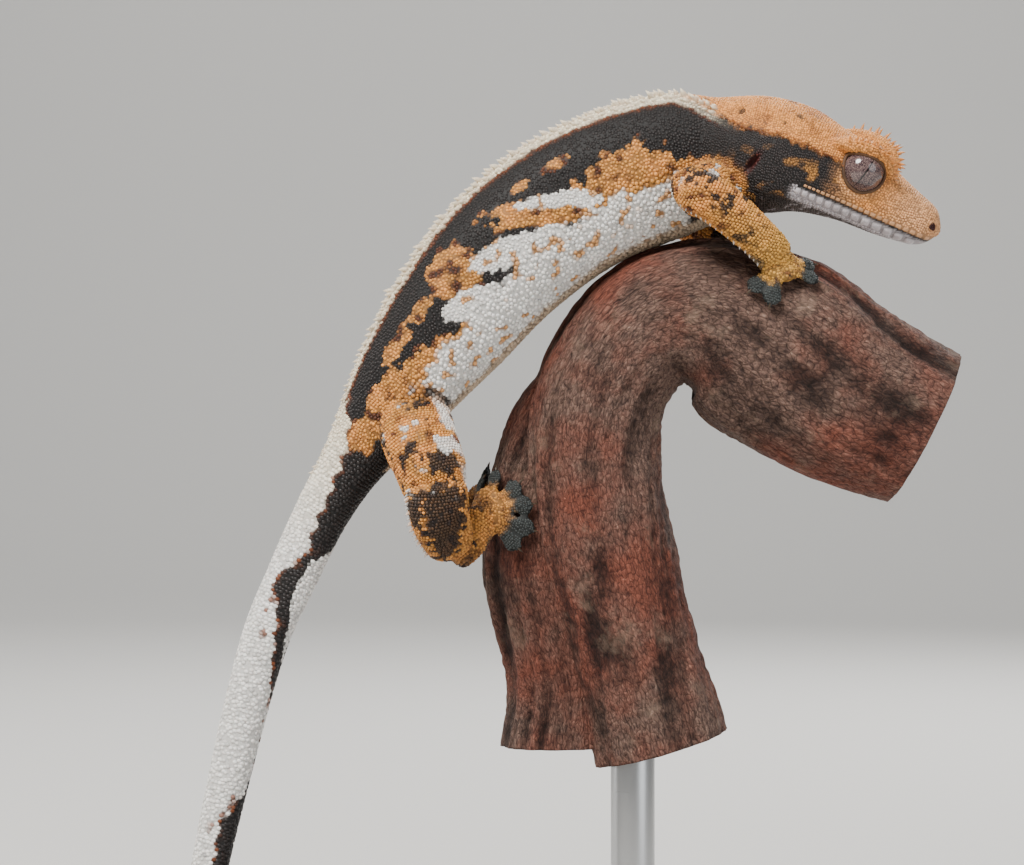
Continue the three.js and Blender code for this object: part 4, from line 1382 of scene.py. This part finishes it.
def lip_plates():
    template, faces = pillow()
    # Painted shade: the low rim of each plate, down in the joint between plates, is darker than its crown.
    edge = 0.22 + 0.78 * smoothstep(-0.3, 0.45, template[:, 2])
    points, all_faces, paints, uvs = [], [], [], []
    for offset, tall, long, deep, tone, light, last in LIP_ROWS:
        for right in SIDES.values():
            behind = 1.0
            while behind < last:
                shrink = 1 - 0.45 * (behind / last) ** 2
                length = long * shrink * (0.95 + 0.12 * rng.random())
                behind += length / 2
                height = mouth_height(behind) + offset * (shrink if offset < 0 else 1)
                place, normal = on_head_side(behind, height, right)
                if place is not None:
                    along = level(HEAD_TURN @ MOUTH_LINE, normal)
                    up = np.cross(normal, along) * -right
                    local = template * [length * 0.97, tall * shrink * 0.95, deep]
                    points.append(place + local @ np.stack([along, up, normal]))
                    order = faces if np.dot(np.cross(along, up), normal) > 0 else faces[:, ::-1]
                    all_faces.append(order + len(template) * len(all_faces))
                    shade = light * (0.82 + 0.2 * rng.random())
                    paints.append(COLOURS[tone] * shade * edge[:, None])
                    corner = np.array([behind / 200, 0.04 * (right + 1.5) + 0.01 * offset])
                    uvs.append(atlas_tile("lips") + corner + template[:, :2] * SCALE_PATCH)
                behind += length / 2
    piece = mesh_piece("lip_plates", np.vstack(points), np.vstack(all_faces))
    set_colours(piece, np.vstack(paints))
    set_uv(piece, np.vstack(uvs))
    return piece


lips = lip_plates()
print("lip plates", len(lips.data.polygons) // len(pillow()[1]))

# %% [markdown]
# ## Eyes
# The globe is glassy and fills its socket. The iris is a grey-brown net of fine veins with an upright
# slit, which is a narrow dark line in daylight. The globe is a sphere with a slightly raised cornea,
# turned in its mesh so that its pole points out of the head. The iris pattern is laid round that pole
# by an attribute that holds each point's place on the iris.

# %% Globes and their rims
EYE_AIM = {"forward": 0.22, "up": 0.1}
SLIT_LEAN = 0.31


def eye_axes(right):
    """Out of the eye, along its slit and across it."""
    out = unit(HEAD_TURN @ np.array([EYE_AIM["forward"], -right, EYE_AIM["up"]]))
    up = level(HEAD_TURN @ np.array([SLIT_LEAN, 0, 1.0]), out)
    return out, up, np.cross(up, out)


def globe(side, right):
    bpy.ops.mesh.primitive_uv_sphere_add(segments=96, ring_count=64, radius=(EYE["radius"] - 0.06) * MM)
    ball = bpy.context.active_object
    ball.name = "globe_" + side
    local = points_of(ball)
    toward = local[:, 2] / EYE["radius"]
    cornea = 0.988 + 0.03 * smoothstep(0.55, 0.95, toward) - 0.12 * smoothstep(0.42, 0.2, toward)
    local = local * cornea[:, None]
    out, up, across = eye_axes(right)
    iris = ball.data.attributes.new("iris_place", "FLOAT_VECTOR", "POINT")
    iris.data.foreach_set("vector", (local / EYE["radius"]).astype(np.float32).ravel())
    put_points(ball, local @ np.stack([across, up, out]) + eye_centre(right))
    only_selected(ball)
    bpy.ops.object.shade_smooth()
    return ball


RIM = {"around": 96, "section": 8, "wide": 0.34, "high": 0.3}


def eye_rim(side, right):
    """The dark fold of skin round the globe: a thin ring where the sphere leaves the head."""
    out, up, across = eye_axes(right)
    sweep_out = np.linspace(0.25, 1.5, 60)
    ring = []
    for turned in np.linspace(0, 2 * np.pi, RIM["around"], endpoint=False):
        ray = unit(
            np.outer(np.cos(sweep_out), out)
            + np.outer(np.sin(sweep_out), np.cos(turned) * across + np.sin(turned) * up)
        )
        on_globe = eye_centre(right) + ray * EYE["radius"]
        place, normal, _ = on_skin(on_globe)
        outside = np.sum((on_globe - place) * normal, axis=1)
        cross = np.argmax(outside < 0.12)
        ring.append(on_globe[cross] if outside.min() < 0.12 else on_globe[-1])
    ring = np.array(ring)
    for _ in range(6):
        ring = (np.roll(ring, 1, axis=0) + 2 * ring + np.roll(ring, -1, axis=0)) / 4
    outward = unit(ring - eye_centre(right))
    ring = eye_centre(right) + outward * EYE["radius"]
    ahead = unit(np.roll(ring, -1, axis=0) - np.roll(ring, 1, axis=0))
    across_ring = np.cross(ahead, outward)
    section = np.arange(RIM["section"]) * 2 * np.pi / RIM["section"]
    points = ring[:, None] + RIM["wide"] * np.cos(section)[None, :, None] * across_ring[:, None]
    points = points + RIM["high"] * np.sin(section)[None, :, None] * outward[:, None]
    points = points.reshape(-1, 3)
    k = np.arange(len(points))
    b = k // RIM["section"] * RIM["section"] + (k + 1) % RIM["section"]
    c, d = (b + RIM["section"]) % len(points), (k + RIM["section"]) % len(points)
    piece = mesh_piece("eye_rim_" + side, points, np.stack([k, b, c, k, c, d], axis=1).reshape(-1, 3))
    set_colours(piece, body_colours(points) * 0.12 + COLOURS["charcoal"] * 0.7)
    return piece


globes = {side: globe(side, right) for side, right in SIDES.items()}
rims = {side: eye_rim(side, right) for side, right in SIDES.items()}


# %% Nostrils and claws
def nostril(side, right):
    place, normal = on_head_side(NOSTRIL["behind"], NOSTRIL["height"], right)
    bpy.ops.mesh.primitive_torus_add(
        major_radius=0.62 * MM, minor_radius=0.2 * MM, major_segments=28, minor_segments=10
    )
    ring = bpy.context.active_object
    ring.name = "nostril_" + side
    along = level(HEAD_TURN @ np.array([-1.0, 0, 0.5]), normal)
    local = points_of(ring) * [1.25, 0.85, 0.9]
    put_points(ring, local @ np.stack([along, np.cross(normal, along), normal]) + place + normal * 0.02)
    only_selected(ring)
    bpy.ops.object.shade_smooth()
    points = points_of(ring)
    inner = np.linalg.norm(local[:, :2] / [1.25, 0.85], axis=1) < 0.56
    paint = body_colours(points) * 0.85
    # Painted shade: the inner side of the ring, facing the hole, is near black.
    paint[inner] = COLOURS["ear"] * 0.25
    set_colours(ring, paint)
    return ring


nostrils = {side: nostril(side, right) for side, right in SIDES.items()}


def claws():
    """One small curved claw at the tip of each toe."""
    rows = []
    for foot in feet.values():
        for toe in foot.toes:
            place, _ = toe.surface(np.array([0.95]), np.array([0.0]), -0.25)
            _, along, back, _ = toe.frames(np.array([0.97]))
            rows.append((place, along + 0.1 * back, 0.2 * along - back, np.array([0.27]), np.array([1.0])))
    return spines("claws", gathered(rows), np.tile(linear("2c2520"), (len(rows), 1)), linear("5c4c3a"))


claw_piece = claws()

# %% [markdown]
# ## The branch
# The branch is old vine wood: two strands that grew together, with long twisted fibres, shallow splits
# and worn ridges. Each strand is a fine grid wrapped round its line and pushed in and out by noise that
# is stretched along the grain. The cut ends show rough, flat wood.

# %% Model the strands
STRAND_RADIUS = 11.0
WORN_IN = -0.6  # the wood lies this far inside its solid before the grain is added, in mm


def strand_shell(strand, around, rings, seed):
    """Points of a strand, their places on the grain, and how far each lies inside the solid."""
    share = np.linspace(0, 1, rings + 1)
    t = np.repeat(np.clip(share, 0.0005, 0.9995), around)
    angle = np.tile(np.arange(around) * 2 * np.pi / around, rings + 1)
    run = strand.run_of_t(t)

    def unrolled(twist, stretch):
        turned = angle + run * twist
        round_it = np.column_stack([np.cos(turned), np.sin(turned)]) * STRAND_RADIUS
        return np.column_stack([round_it, run * stretch])

    flow, plain = unrolled(0.012, 0.16), unrolled(0, 1)
    ridges = field(flow, 2.4, seed) + 0.55 * field(flow, 1.1, seed + 9) + 0.3 * field(flow, 0.5, seed + 4)
    folds = 1 - np.abs(field(unrolled(0.012, 0.1), 4.5, seed + 70)) * 2.4
    push = WORN_IN + 0.3 * ridges + 0.26 * field(plain, 1.5, seed + 30)
    push = np.minimum(push + 0.45 * field(plain, 9.0, seed + 50) + 0.45 * folds, 0.0)
    points, _ = strand.surface(t, angle, push)
    return points, np.column_stack([run, angle * STRAND_RADIUS]), push


def strand_piece(name, strand, around, rings, seed):
    """A closed strand: the shell, and three rings at each end that fill the rough saw cut."""
    points, grain, push = strand_shell(strand, around, rings, seed)
    grid = points.reshape(rings + 1, around, 3)
    faces = [tube_faces(rings, around)]
    extra, start = [], len(points)
    nxt = np.roll(np.arange(around), -1)
    for end in (0, rings):
        middle, outer = grid[end].mean(axis=0), np.arange(around) + end * around
        direction = strand.frames(end / rings)[1][0]
        for share in (0.66, 0.33, 0.0):
            flat = middle + (grid[end] - middle) * share
            extra.append(flat + np.outer(0.15 * field(flat, 1.2, seed), direction))
            inner = np.arange(around) + start
            start += around
            for corners in ([outer, outer[nxt], inner], [outer[nxt], inner[nxt], inner]):
                face = np.column_stack(corners)
                faces.append(face[:, ::-1] if end == 0 else face)
            outer = inner
    extra = np.vstack(extra)
    points = np.vstack([points, extra])
    grain = np.vstack([grain, extra[:, :2] * 3])
    hollow = np.concatenate([push, np.full(len(extra), -0.4)])
    is_end = np.repeat([0.0, 1.0], [len(push), len(extra)])
    piece = mesh_piece(name, points, np.vstack(faces))
    set_uv(piece, grain / 100, "grain")
    # Red channel: how deep each point lies, which the wood material turns into painted shade in the hollows.
    # Green channel: 1 on the sawn ends.
    set_colours(piece, np.column_stack([smoothstep(-1.1, 0.0, hollow), is_end, is_end * 0]), "hollow_shade_and_cut_ends")
    only_selected(piece)
    bpy.ops.object.mode_set(mode="EDIT")
    bpy.ops.mesh.select_all(action="SELECT")
    bpy.ops.mesh.remove_doubles(threshold=0.001 * MM)
    bpy.ops.mesh.normals_make_consistent(inside=False)
    bpy.ops.object.mode_set(mode="OBJECT")
    return piece


branch_main = strand_piece("branch_main", main_strand, 240, 360, 2.0)
branch_rear = strand_piece("branch_rear", rear_strand, 180, 200, 14.0)
print("branch triangles", len(branch_main.data.polygons) + len(branch_rear.data.polygons))

# %% [markdown]
# ## Materials
# Each material starts from what the real one is. Colours vary by procedural noise at real sizes, and
# numbers that are the same all over are set straight on the shader.

# %% Helpers: a material with its fixed values, and one node
def new_material(name, fixed):
    material = bpy.data.materials.new(name)
    material.use_nodes = True
    shader = material.node_tree.nodes["Principled BSDF"]
    for key, value in fixed.items():
        shader.inputs[key].default_value = value
    return material, material.node_tree, shader


def rgba(hex_colour):
    return (*linear(hex_colour), 1.0)


def add(tree, kind, settings=None, links=None, inputs=None, stops=()):
    """Adds a node. settings are its own options, links lead output sockets to its inputs, inputs are
    fixed values, and stops are the positions and hex colours of a colour ramp."""
    made = tree.nodes.new("ShaderNode" + kind)
    for key, value in (settings or {}).items():
        setattr(made, key, value)
    for key, value in (inputs or {}).items():
        made.inputs[key].default_value = value
    for key, socket in (links or {}).items():
        tree.links.new(socket, made.inputs[key])
    while stops and len(made.color_ramp.elements) < len(stops):
        made.color_ramp.elements.new(0.5)
    for element, (position, colour) in zip(made.color_ramp.elements if stops else (), stops):
        element.position = position
        element.color = rgba(colour)
    return made


MULTIPLY = {"data_type": "RGBA", "blend_type": "MULTIPLY"}
MULTIPLY_ADD = {"operation": "MULTIPLY_ADD"}
CELL_EDGES = {"feature": "DISTANCE_TO_EDGE"}

# %% [markdown]
# Gecko skin is dry keratin: soft, nearly matt, with a faint sheen on the top of each granule. The
# painted markings carry the colour, with painted shade in the grooves between scales and a painted
# highlight on their tops, and a fine noise of a quarter of a millimetre breaks it up within each scale.
# Spines, lip plates and claws are the same stuff, grown harder and smoother.

# %% Dry keratin skin
KERATIN = {
    "IOR": 1.45,
    "Specular IOR Level": 0.42,
    "Subsurface Weight": 0.06,
    "Subsurface Radius": (0.0012, 0.0006, 0.0004),
}
GRIT = 0.25 * MM


def keratin(name, roughness, relief):
    """relief is the height of the grit in mm."""
    material, tree, shader = new_material(name, {**KERATIN, "Roughness": roughness})
    paint = add(tree, "Attribute", {"attribute_name": "markings_and_shade"})
    where = add(tree, "TexCoord")
    grit = add(
        tree,
        "TexNoise",
        links={"Vector": where.outputs["Object"]},
        inputs={"Scale": 1 / GRIT, "Detail": 3.0, "Roughness": 0.6},
    )
    light = add(
        tree,
        "MapRange",
        links={"Value": grit.outputs["Fac"]},
        inputs={"From Min": 0.3, "From Max": 0.7, "To Min": 0.82, "To Max": 1.14},
    )
    links = {0: paint.outputs["Color"], "Scale": light.outputs["Result"]}
    tinted = add(tree, "VectorMath", {"operation": "SCALE"}, links)
    tree.links.new(tinted.outputs["Vector"], shader.inputs["Base Color"])
    height = {"Height": grit.outputs["Fac"]}
    bump = add(tree, "Bump", links=height, inputs={"Strength": 0.5, "Distance": relief * MM})
    tree.links.new(bump.outputs["Normal"], shader.inputs["Normal"])
    return material


skin_material = keratin("gecko skin, dry keratin", 0.62, 0.08)
scale_material = keratin("gecko scales, dry keratin", 0.5, 0.04)
spine_material = keratin("crest spines, hard keratin", 0.42, 0.03)
lip_material = keratin("lip plates, smooth keratin", 0.34, 0.02)
claw_material = keratin("claws, horn", 0.3, 0.02)

# %% [markdown]
# The eye is wet and glassy. The iris pattern is read from the place on the globe that each point
# carries, so it sits still on the animal: a slit about a thirtieth as wide as the globe, a net of
# veins, and a dark edge. A little noise makes the slit's sides crinkle, and its width falls to nothing
# at its ends.

# %% Living eye
CORNEA = {"Roughness": 0.08, "IOR": 1.38, "Coat Weight": 0.6, "Coat Roughness": 0.03}
IRIS_STOPS = [(0.34, "120d0f"), (0.5, "33272a"), (0.68, "574445"), (0.9, "796660")]
SLIT_STOPS = [(0.03, "000000"), (0.042, "ffffff")]
EDGE_STOPS = [(0.15, "181416"), (0.5, "ffffff")]


def eye_material():
    material, tree, shader = new_material("living eye, wet cornea over a veined iris", CORNEA)
    place = add(tree, "Attribute", {"attribute_name": "iris_place"}).outputs["Vector"]
    parts = add(tree, "SeparateXYZ", links={"Vector": place})
    net = add(tree, "TexVoronoi", CELL_EDGES, {"Vector": place}, {"Scale": 13.0, "Randomness": 1.0})
    haze = add(
        tree, "TexNoise", links={"Vector": place}, inputs={"Scale": 9.0, "Detail": 6.0, "Roughness": 0.7}
    )
    both = add(
        tree, "Math", MULTIPLY_ADD, {0: net.outputs["Distance"], 2: haze.outputs["Fac"]}, {1: 1.6}
    )
    iris = add(tree, "ValToRGB", links={"Fac": both.outputs["Value"]}, stops=IRIS_STOPS)
    wave = add(tree, "Math", MULTIPLY_ADD, {0: haze.outputs["Fac"]}, {1: 0.05, 2: -0.025})
    across = add(
        tree, "Math", {"operation": "ADD"}, {0: parts.outputs["X"], 1: wave.outputs["Value"]}
    )
    wide = add(tree, "Math", {"operation": "ABSOLUTE"}, {0: across.outputs["Value"]})
    ends = add(tree, "Math", {"operation": "POWER"}, {0: parts.outputs["Y"]}, {1: 2.0})
    narrowed = add(
        tree, "Math", MULTIPLY_ADD, {0: ends.outputs["Value"], 2: wide.outputs["Value"]}, {1: 0.055}
    )
    slit = add(tree, "ValToRGB", links={"Fac": narrowed.outputs["Value"]}, stops=SLIT_STOPS)
    seen = add(tree, "Mix", MULTIPLY, {6: iris.outputs["Color"], 7: slit.outputs["Color"]}, {0: 0.97})
    edge = add(tree, "ValToRGB", links={"Fac": parts.outputs["Z"]}, stops=EDGE_STOPS)
    whole = add(tree, "Mix", MULTIPLY, {6: seen.outputs[2], 7: edge.outputs["Color"]}, {0: 1.0})
    tree.links.new(whole.outputs[2], shader.inputs["Base Color"])
    return material


eye_look = eye_material()

# %% [markdown]
# The wood is weathered vine: fibres half a millimetre wide and a millimetre long run with the grain.
# The colour drifts between grey-brown and red-brown over a centimetre or two, hollows get painted shade,
# cracks are darker, and pale scrapes a few millimetres across show the bare wood. The sawn ends are lighter.

# %% Weathered vine wood
DRY_WOOD = {"Roughness": 0.82, "Specular IOR Level": 0.3}
FIBRES = (95.0, 210.0, 1.0)  # along and across the grain, whose unwrap is a tenth of a metre to one
GREY_STOPS = [(0.28, "2e211e"), (0.44, "5e4840"), (0.58, "826659"), (0.76, "ab9080")]
RED_STOPS = [(0.28, "381c18"), (0.44, "6f3e31"), (0.6, "935644"), (0.78, "b98a76")]
HOLLOW_SHADE_STOPS = [(0.0, "665b57"), (0.8, "ffffff")]
CRACK_STOPS = [(0.0, "7a6a62"), (0.09, "ffffff")]
SCRAPE_STOPS = [(0.56, "000000"), (0.7, "8c8c8c")]
SAWN_STOPS = [(0.35, "8a6a4c"), (0.65, "c2a07a")]


def wood_material():
    material, tree, shader = new_material("weathered vine wood, bare and dry", DRY_WOOD)
    grain = add(tree, "UVMap", {"uv_map": "grain"})
    where = add(tree, "TexCoord").outputs["Object"]
    hollow_shade_and_cut_ends = add(tree, "Attribute", {"attribute_name": "hollow_shade_and_cut_ends"})
    shade_and_cut_ends = add(tree, "SeparateColor", links={"Color": hollow_shade_and_cut_ends.outputs["Color"]})
    mapped = add(tree, "Mapping", links={"Vector": grain.outputs["UV"]}, inputs={"Scale": FIBRES})
    with_grain = {"Vector": mapped.outputs["Vector"]}

    def specks(size, detail, roughness):
        values = {"Scale": 1 / (size * MM), "Detail": detail, "Roughness": roughness}
        return add(tree, "TexNoise", links={"Vector": where}, inputs=values).outputs["Fac"]

    fibre = add(
        tree,
        "TexNoise",
        links=with_grain,
        inputs={"Scale": 1.0, "Detail": 8.0, "Roughness": 0.68, "Distortion": 0.6},
    )
    crackle = add(tree, "TexVoronoi", CELL_EDGES, with_grain, {"Scale": 0.8, "Randomness": 1.0})
    grey = add(tree, "ValToRGB", links={"Fac": fibre.outputs["Fac"]}, stops=GREY_STOPS)
    red = add(tree, "ValToRGB", links={"Fac": fibre.outputs["Fac"]}, stops=RED_STOPS)
    redness = add(
        tree, "MapRange", links={"Value": specks(16, 4.0, 0.6)}, inputs={"From Min": 0.42, "From Max": 0.62}
    )
    links = {0: redness.outputs["Result"], 6: grey.outputs["Color"], 7: red.outputs["Color"]}
    body = add(tree, "Mix", {"data_type": "RGBA"}, links)
    # Painted shade: the deeper a point lies in the wood, the darker its colour.
    shade = add(tree, "ValToRGB", links={"Fac": shade_and_cut_ends.outputs["Red"]}, stops=HOLLOW_SHADE_STOPS)
    hollow_shaded = add(tree, "Mix", MULTIPLY, {6: body.outputs[2], 7: shade.outputs["Color"]}, {0: 1.0})
    crack = add(tree, "ValToRGB", links={"Fac": crackle.outputs["Distance"]}, stops=CRACK_STOPS)
    cracked = add(tree, "Mix", MULTIPLY, {6: hollow_shaded.outputs[2], 7: crack.outputs["Color"]}, {0: 0.75})
    scraped = add(tree, "ValToRGB", links={"Fac": specks(7, 6.0, 0.65)}, stops=SCRAPE_STOPS)
    links = {0: scraped.outputs["Color"], 6: cracked.outputs[2]}
    scratched = add(tree, "Mix", {"data_type": "RGBA"}, links, {7: rgba("b9a08a")})
    cut = add(tree, "ValToRGB", links={"Fac": specks(1.2, 5.0, 0.6)}, stops=SAWN_STOPS)
    links = {0: shade_and_cut_ends.outputs["Green"], 6: scratched.outputs[2], 7: cut.outputs["Color"]}
    final = add(tree, "Mix", {"data_type": "RGBA"}, links)
    tree.links.new(final.outputs[2], shader.inputs["Base Color"])
    links = {0: crackle.outputs["Distance"], 2: fibre.outputs["Fac"]}
    height = add(tree, "Math", MULTIPLY_ADD, links, {1: 0.8})
    links = {"Height": height.outputs["Value"]}
    bump = add(tree, "Bump", links=links, inputs={"Strength": 1.0, "Distance": 0.9 * MM})
    tree.links.new(bump.outputs["Normal"], shader.inputs["Normal"])
    return material


wood = wood_material()

# %% [markdown]
# The stand is plain on purpose: a dark stained beech plate with eased edges, and a brushed steel rod
# whose fine lines run round it, as they do on bar that was turned and polished on a lathe.

# %% Stained beech and turned steel
WAXED = {"Roughness": 0.38, "Coat Weight": 0.25, "Coat Roughness": 0.25}
BEECH_GRAIN = (60.0, 900.0, 900.0)  # streaks about a millimetre wide and 17 mm long
LATHE_LINES = (40.0, 40.0, 9000.0)  # a line each tenth of a millimetre
BEECH_STOPS = [(0.35, "2a1a12"), (0.55, "432a1c"), (0.7, "5a3a26")]


def stained_beech():
    material, tree, shader = new_material("beech, stained dark and waxed", WAXED)
    where = {"Vector": add(tree, "TexCoord").outputs["Object"]}
    stretched = add(tree, "Mapping", links=where, inputs={"Scale": BEECH_GRAIN})
    grain = add(
        tree,
        "TexNoise",
        links={"Vector": stretched.outputs["Vector"]},
        inputs={"Scale": 1.0, "Detail": 5.0, "Roughness": 0.6, "Distortion": 0.4},
    )
    colour = add(tree, "ValToRGB", links={"Fac": grain.outputs["Fac"]}, stops=BEECH_STOPS)
    tree.links.new(colour.outputs["Color"], shader.inputs["Base Color"])
    height = {"Height": grain.outputs["Fac"]}
    bump = add(tree, "Bump", links=height, inputs={"Strength": 0.2, "Distance": 0.1 * MM})
    tree.links.new(bump.outputs["Normal"], shader.inputs["Normal"])
    return material


def turned_steel():
    fixed = {"Metallic": 1.0, "Base Color": rgba("b4b5b6")}
    material, tree, shader = new_material("mild steel rod, turned and polished", fixed)
    where = {"Vector": add(tree, "TexCoord").outputs["Object"]}
    lines = add(tree, "Mapping", links=where, inputs={"Scale": LATHE_LINES})
    fine = add(
        tree, "TexNoise", links={"Vector": lines.outputs["Vector"]}, inputs={"Scale": 1.0, "Detail": 3.0}
    )
    rough = add(
        tree, "MapRange", links={"Value": fine.outputs["Fac"]}, inputs={"To Min": 0.22, "To Max": 0.42}
    )
    tree.links.new(rough.outputs["Result"], shader.inputs["Roughness"])
    return material


# %% [markdown]
# ## Base and rod
# The base starts as a cube at its size. Its upright edges are rounded with a wide bevel and its top
# and bottom edges eased with a small one, as a router would cut them. The rod is a cylinder with a
# small chamfer at its ends.

# %% Base plate
FLAT = 1e-6
CORNER_ROUND, EASED_EDGE, CHAMFER = 14 * MM, 0.8 * MM, 0.4 * MM
KEEN = math.radians(35)  # edges sharper than this stay crisp when the faces are shaded smooth


def rise(edge):
    """How far an edge climbs, in metres."""
    return abs(edge.verts[0].co.z - edge.verts[1].co.z)


def upright(face):
    return abs(face.normal.z) < 0.5


def select_edges(piece, wanted):
    """In edit mode, selects the edges for which wanted(edge) is true."""
    mesh = bmesh.from_edit_mesh(piece.data)
    for face in mesh.faces:
        face.select = False
    for edge in mesh.edges:
        edge.select = wanted(edge)
    mesh.select_flush_mode()
    bmesh.update_edit_mesh(piece.data)


def base_plate():
    low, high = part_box("stand_base")
    size = Vector(high) - Vector(low)
    nothing_selected()
    bpy.ops.mesh.primitive_cube_add(size=1)
    plate = bpy.context.active_object
    plate.name = "base_plate"
    middle = (Vector(high) + Vector(low)) / 2
    for vertex in plate.data.vertices:
        vertex.co = Vector(c * s for c, s in zip(vertex.co, size)) + middle
    bpy.ops.object.mode_set(mode="EDIT")
    bpy.ops.mesh.select_mode(type="EDGE")
    select_edges(plate, lambda edge: rise(edge) > MM)
    bpy.ops.mesh.bevel(offset=CORNER_ROUND, segments=14)
    select_edges(plate, lambda edge: rise(edge) < FLAT and any(map(upright, edge.link_faces)))
    bpy.ops.mesh.bevel(offset=EASED_EDGE, segments=4)
    bpy.ops.object.mode_set(mode="OBJECT")
    only_selected(plate)
    bpy.ops.object.shade_smooth_by_angle(angle=KEEN)
    return plate


def steel_rod():
    low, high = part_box("stand_rod")
    nothing_selected()
    radius = (high[0] - low[0]) / 2
    middle = (Vector(high) + Vector(low)) / 2
    bpy.ops.mesh.primitive_cylinder_add(vertices=64, radius=radius, depth=high[2] - low[2])
    rod = bpy.context.active_object
    rod.name = "steel_rod"
    for vertex in rod.data.vertices:
        vertex.co = vertex.co + middle
    bpy.ops.object.mode_set(mode="EDIT")
    bpy.ops.mesh.select_mode(type="EDGE")
    select_edges(rod, lambda edge: rise(edge) < FLAT)
    bpy.ops.mesh.bevel(offset=CHAMFER, segments=3)
    bpy.ops.object.mode_set(mode="OBJECT")
    bpy.ops.object.shade_smooth_by_angle(angle=KEEN)
    return rod


base = base_plate()
rod = steel_rod()

# %% [markdown]
# ## Materials and the body
# Every piece takes its material and rides on the one body, and the CAD parts are hidden.

# %% Materials and bodies
FLESH = [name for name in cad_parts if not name.startswith(("eye_", "perch", "stand_"))]
looks = {skin: (skin_material, "skin"), crest: (spine_material, "skin"), lips: (lip_material, "skin")}
looks |= {head_spines: (spine_material, "skin"), lashes: (spine_material, "skin")}
looks |= {claw_piece: (claw_material, "skin"), fringe_piece: (spine_material, "skin")}
looks |= {piece: (scale_material, "skin") for piece in scale_pieces.values()}
looks |= {piece: (skin_material, "skin") for piece in (*rims.values(), *nostrils.values())}
looks |= {piece: (eye_look, "eye") for piece in globes.values()}
looks |= {branch_main: (wood, "branch"), branch_rear: (wood, "branch")}
looks |= {base: (stained_beech(), "base"), rod: (turned_steel(), "rod")}
for piece, (material, slot) in looks.items():
    piece.data.materials.clear()
    piece.data.materials.append(material)
    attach(piece, "root")
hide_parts(*FLESH)
for side, piece in globes.items():
    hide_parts("eye_" + side)
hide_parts("perch")
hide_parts("stand_base")
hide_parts("stand_rod")
triangles = sum(len(piece.data.polygons) for piece in looks)
print(len(looks), "pieces and about", triangles, "faces")

# %% [markdown]
# ## Camera, floor and light
# The camera stands level in front of the animal's right side, at the height of its middle. A long lens
# keeps the sides of the body from spreading. The floor runs up into a wall, so no edge shows.

# %% Camera
PIXELS_PER_MM = 6.3
CAMERA = {"x": -9.206, "z": 113.98, "distance": 420.0}
camera_data = bpy.data.cameras.new("camera")
camera_data.sensor_width = 36
camera_data.lens = 36 * PIXELS_PER_MM * CAMERA["distance"] / 1024
camera_data.clip_start, camera_data.clip_end = 0.01, 20
camera = bpy.data.objects.new("camera", camera_data)
camera.location = (CAMERA["x"] * MM, -CAMERA["distance"] * MM, CAMERA["z"] * MM)
camera.rotation_euler = (math.pi / 2, 0, 0)
bpy.context.scene.collection.objects.link(camera)
bpy.context.scene.camera = camera


# %% Floor, wall and lights
def backdrop():
    """A floor that bends up into a wall far behind, as one smooth sheet."""
    profile = [(-8.0, 0.0), (1.2, 0.0)]
    for step in range(1, 13):
        turned = step / 12 * math.pi / 2
        profile.append((1.2 + 0.8 * math.sin(turned), 0.8 - 0.8 * math.cos(turned)))
    profile.append((2.0, 4.0))
    points = [(x * 1000, y * 1000, z * 1000 - 0.05) for y, z in profile for x in (-5, 5)]
    faces = [(2 * k, 2 * k + 1, 2 * k + 3, 2 * k + 2) for k in range(len(profile) - 1)]
    sheet = mesh_piece("floor", points, faces)
    material, _, _ = new_material("pale matt floor", {"Base Color": rgba("d9d7d3"), "Roughness": 0.9})
    sheet.data.materials.append(material)
    return sheet


backdrop()


def soft_light(name, place, aim, size, power, colour):
    data = bpy.data.lights.new(name, "AREA")
    data.shape = "DISK"
    data.size = size
    data.energy = power
    data.color = colour
    lamp = bpy.data.objects.new(name, data)
    lamp.location = place
    lamp.rotation_euler = (Vector(aim) - Vector(place)).to_track_quat("-Z", "Y").to_euler()
    bpy.context.scene.collection.objects.link(lamp)


AIM = (0, 0, 0.12)
soft_light("key", (-0.3, -0.5, 0.8), AIM, 0.4, 15, (1, 0.97, 0.93))
soft_light("fill", (0.7, -0.6, 0.3), AIM, 0.7, 3.2, (0.94, 0.97, 1))
soft_light("rim", (0.3, 0.7, 0.6), AIM, 0.5, 6, (1, 1, 1))
soft_light("left_side", (-0.8, 0.3, 0.35), AIM, 0.6, 3, (1, 0.98, 0.95))
soft_light("wall", (0, 0.7, 1.3), (0, 2.2, 0.7), 1.0, 12, (1, 1, 1))
world = bpy.data.worlds.new("soft room")
bpy.context.scene.world = world
world.use_nodes = True
world.node_tree.nodes["Background"].inputs["Color"].default_value = rgba("c9cdd2")
world.node_tree.nodes["Background"].inputs["Strength"].default_value = 0.34
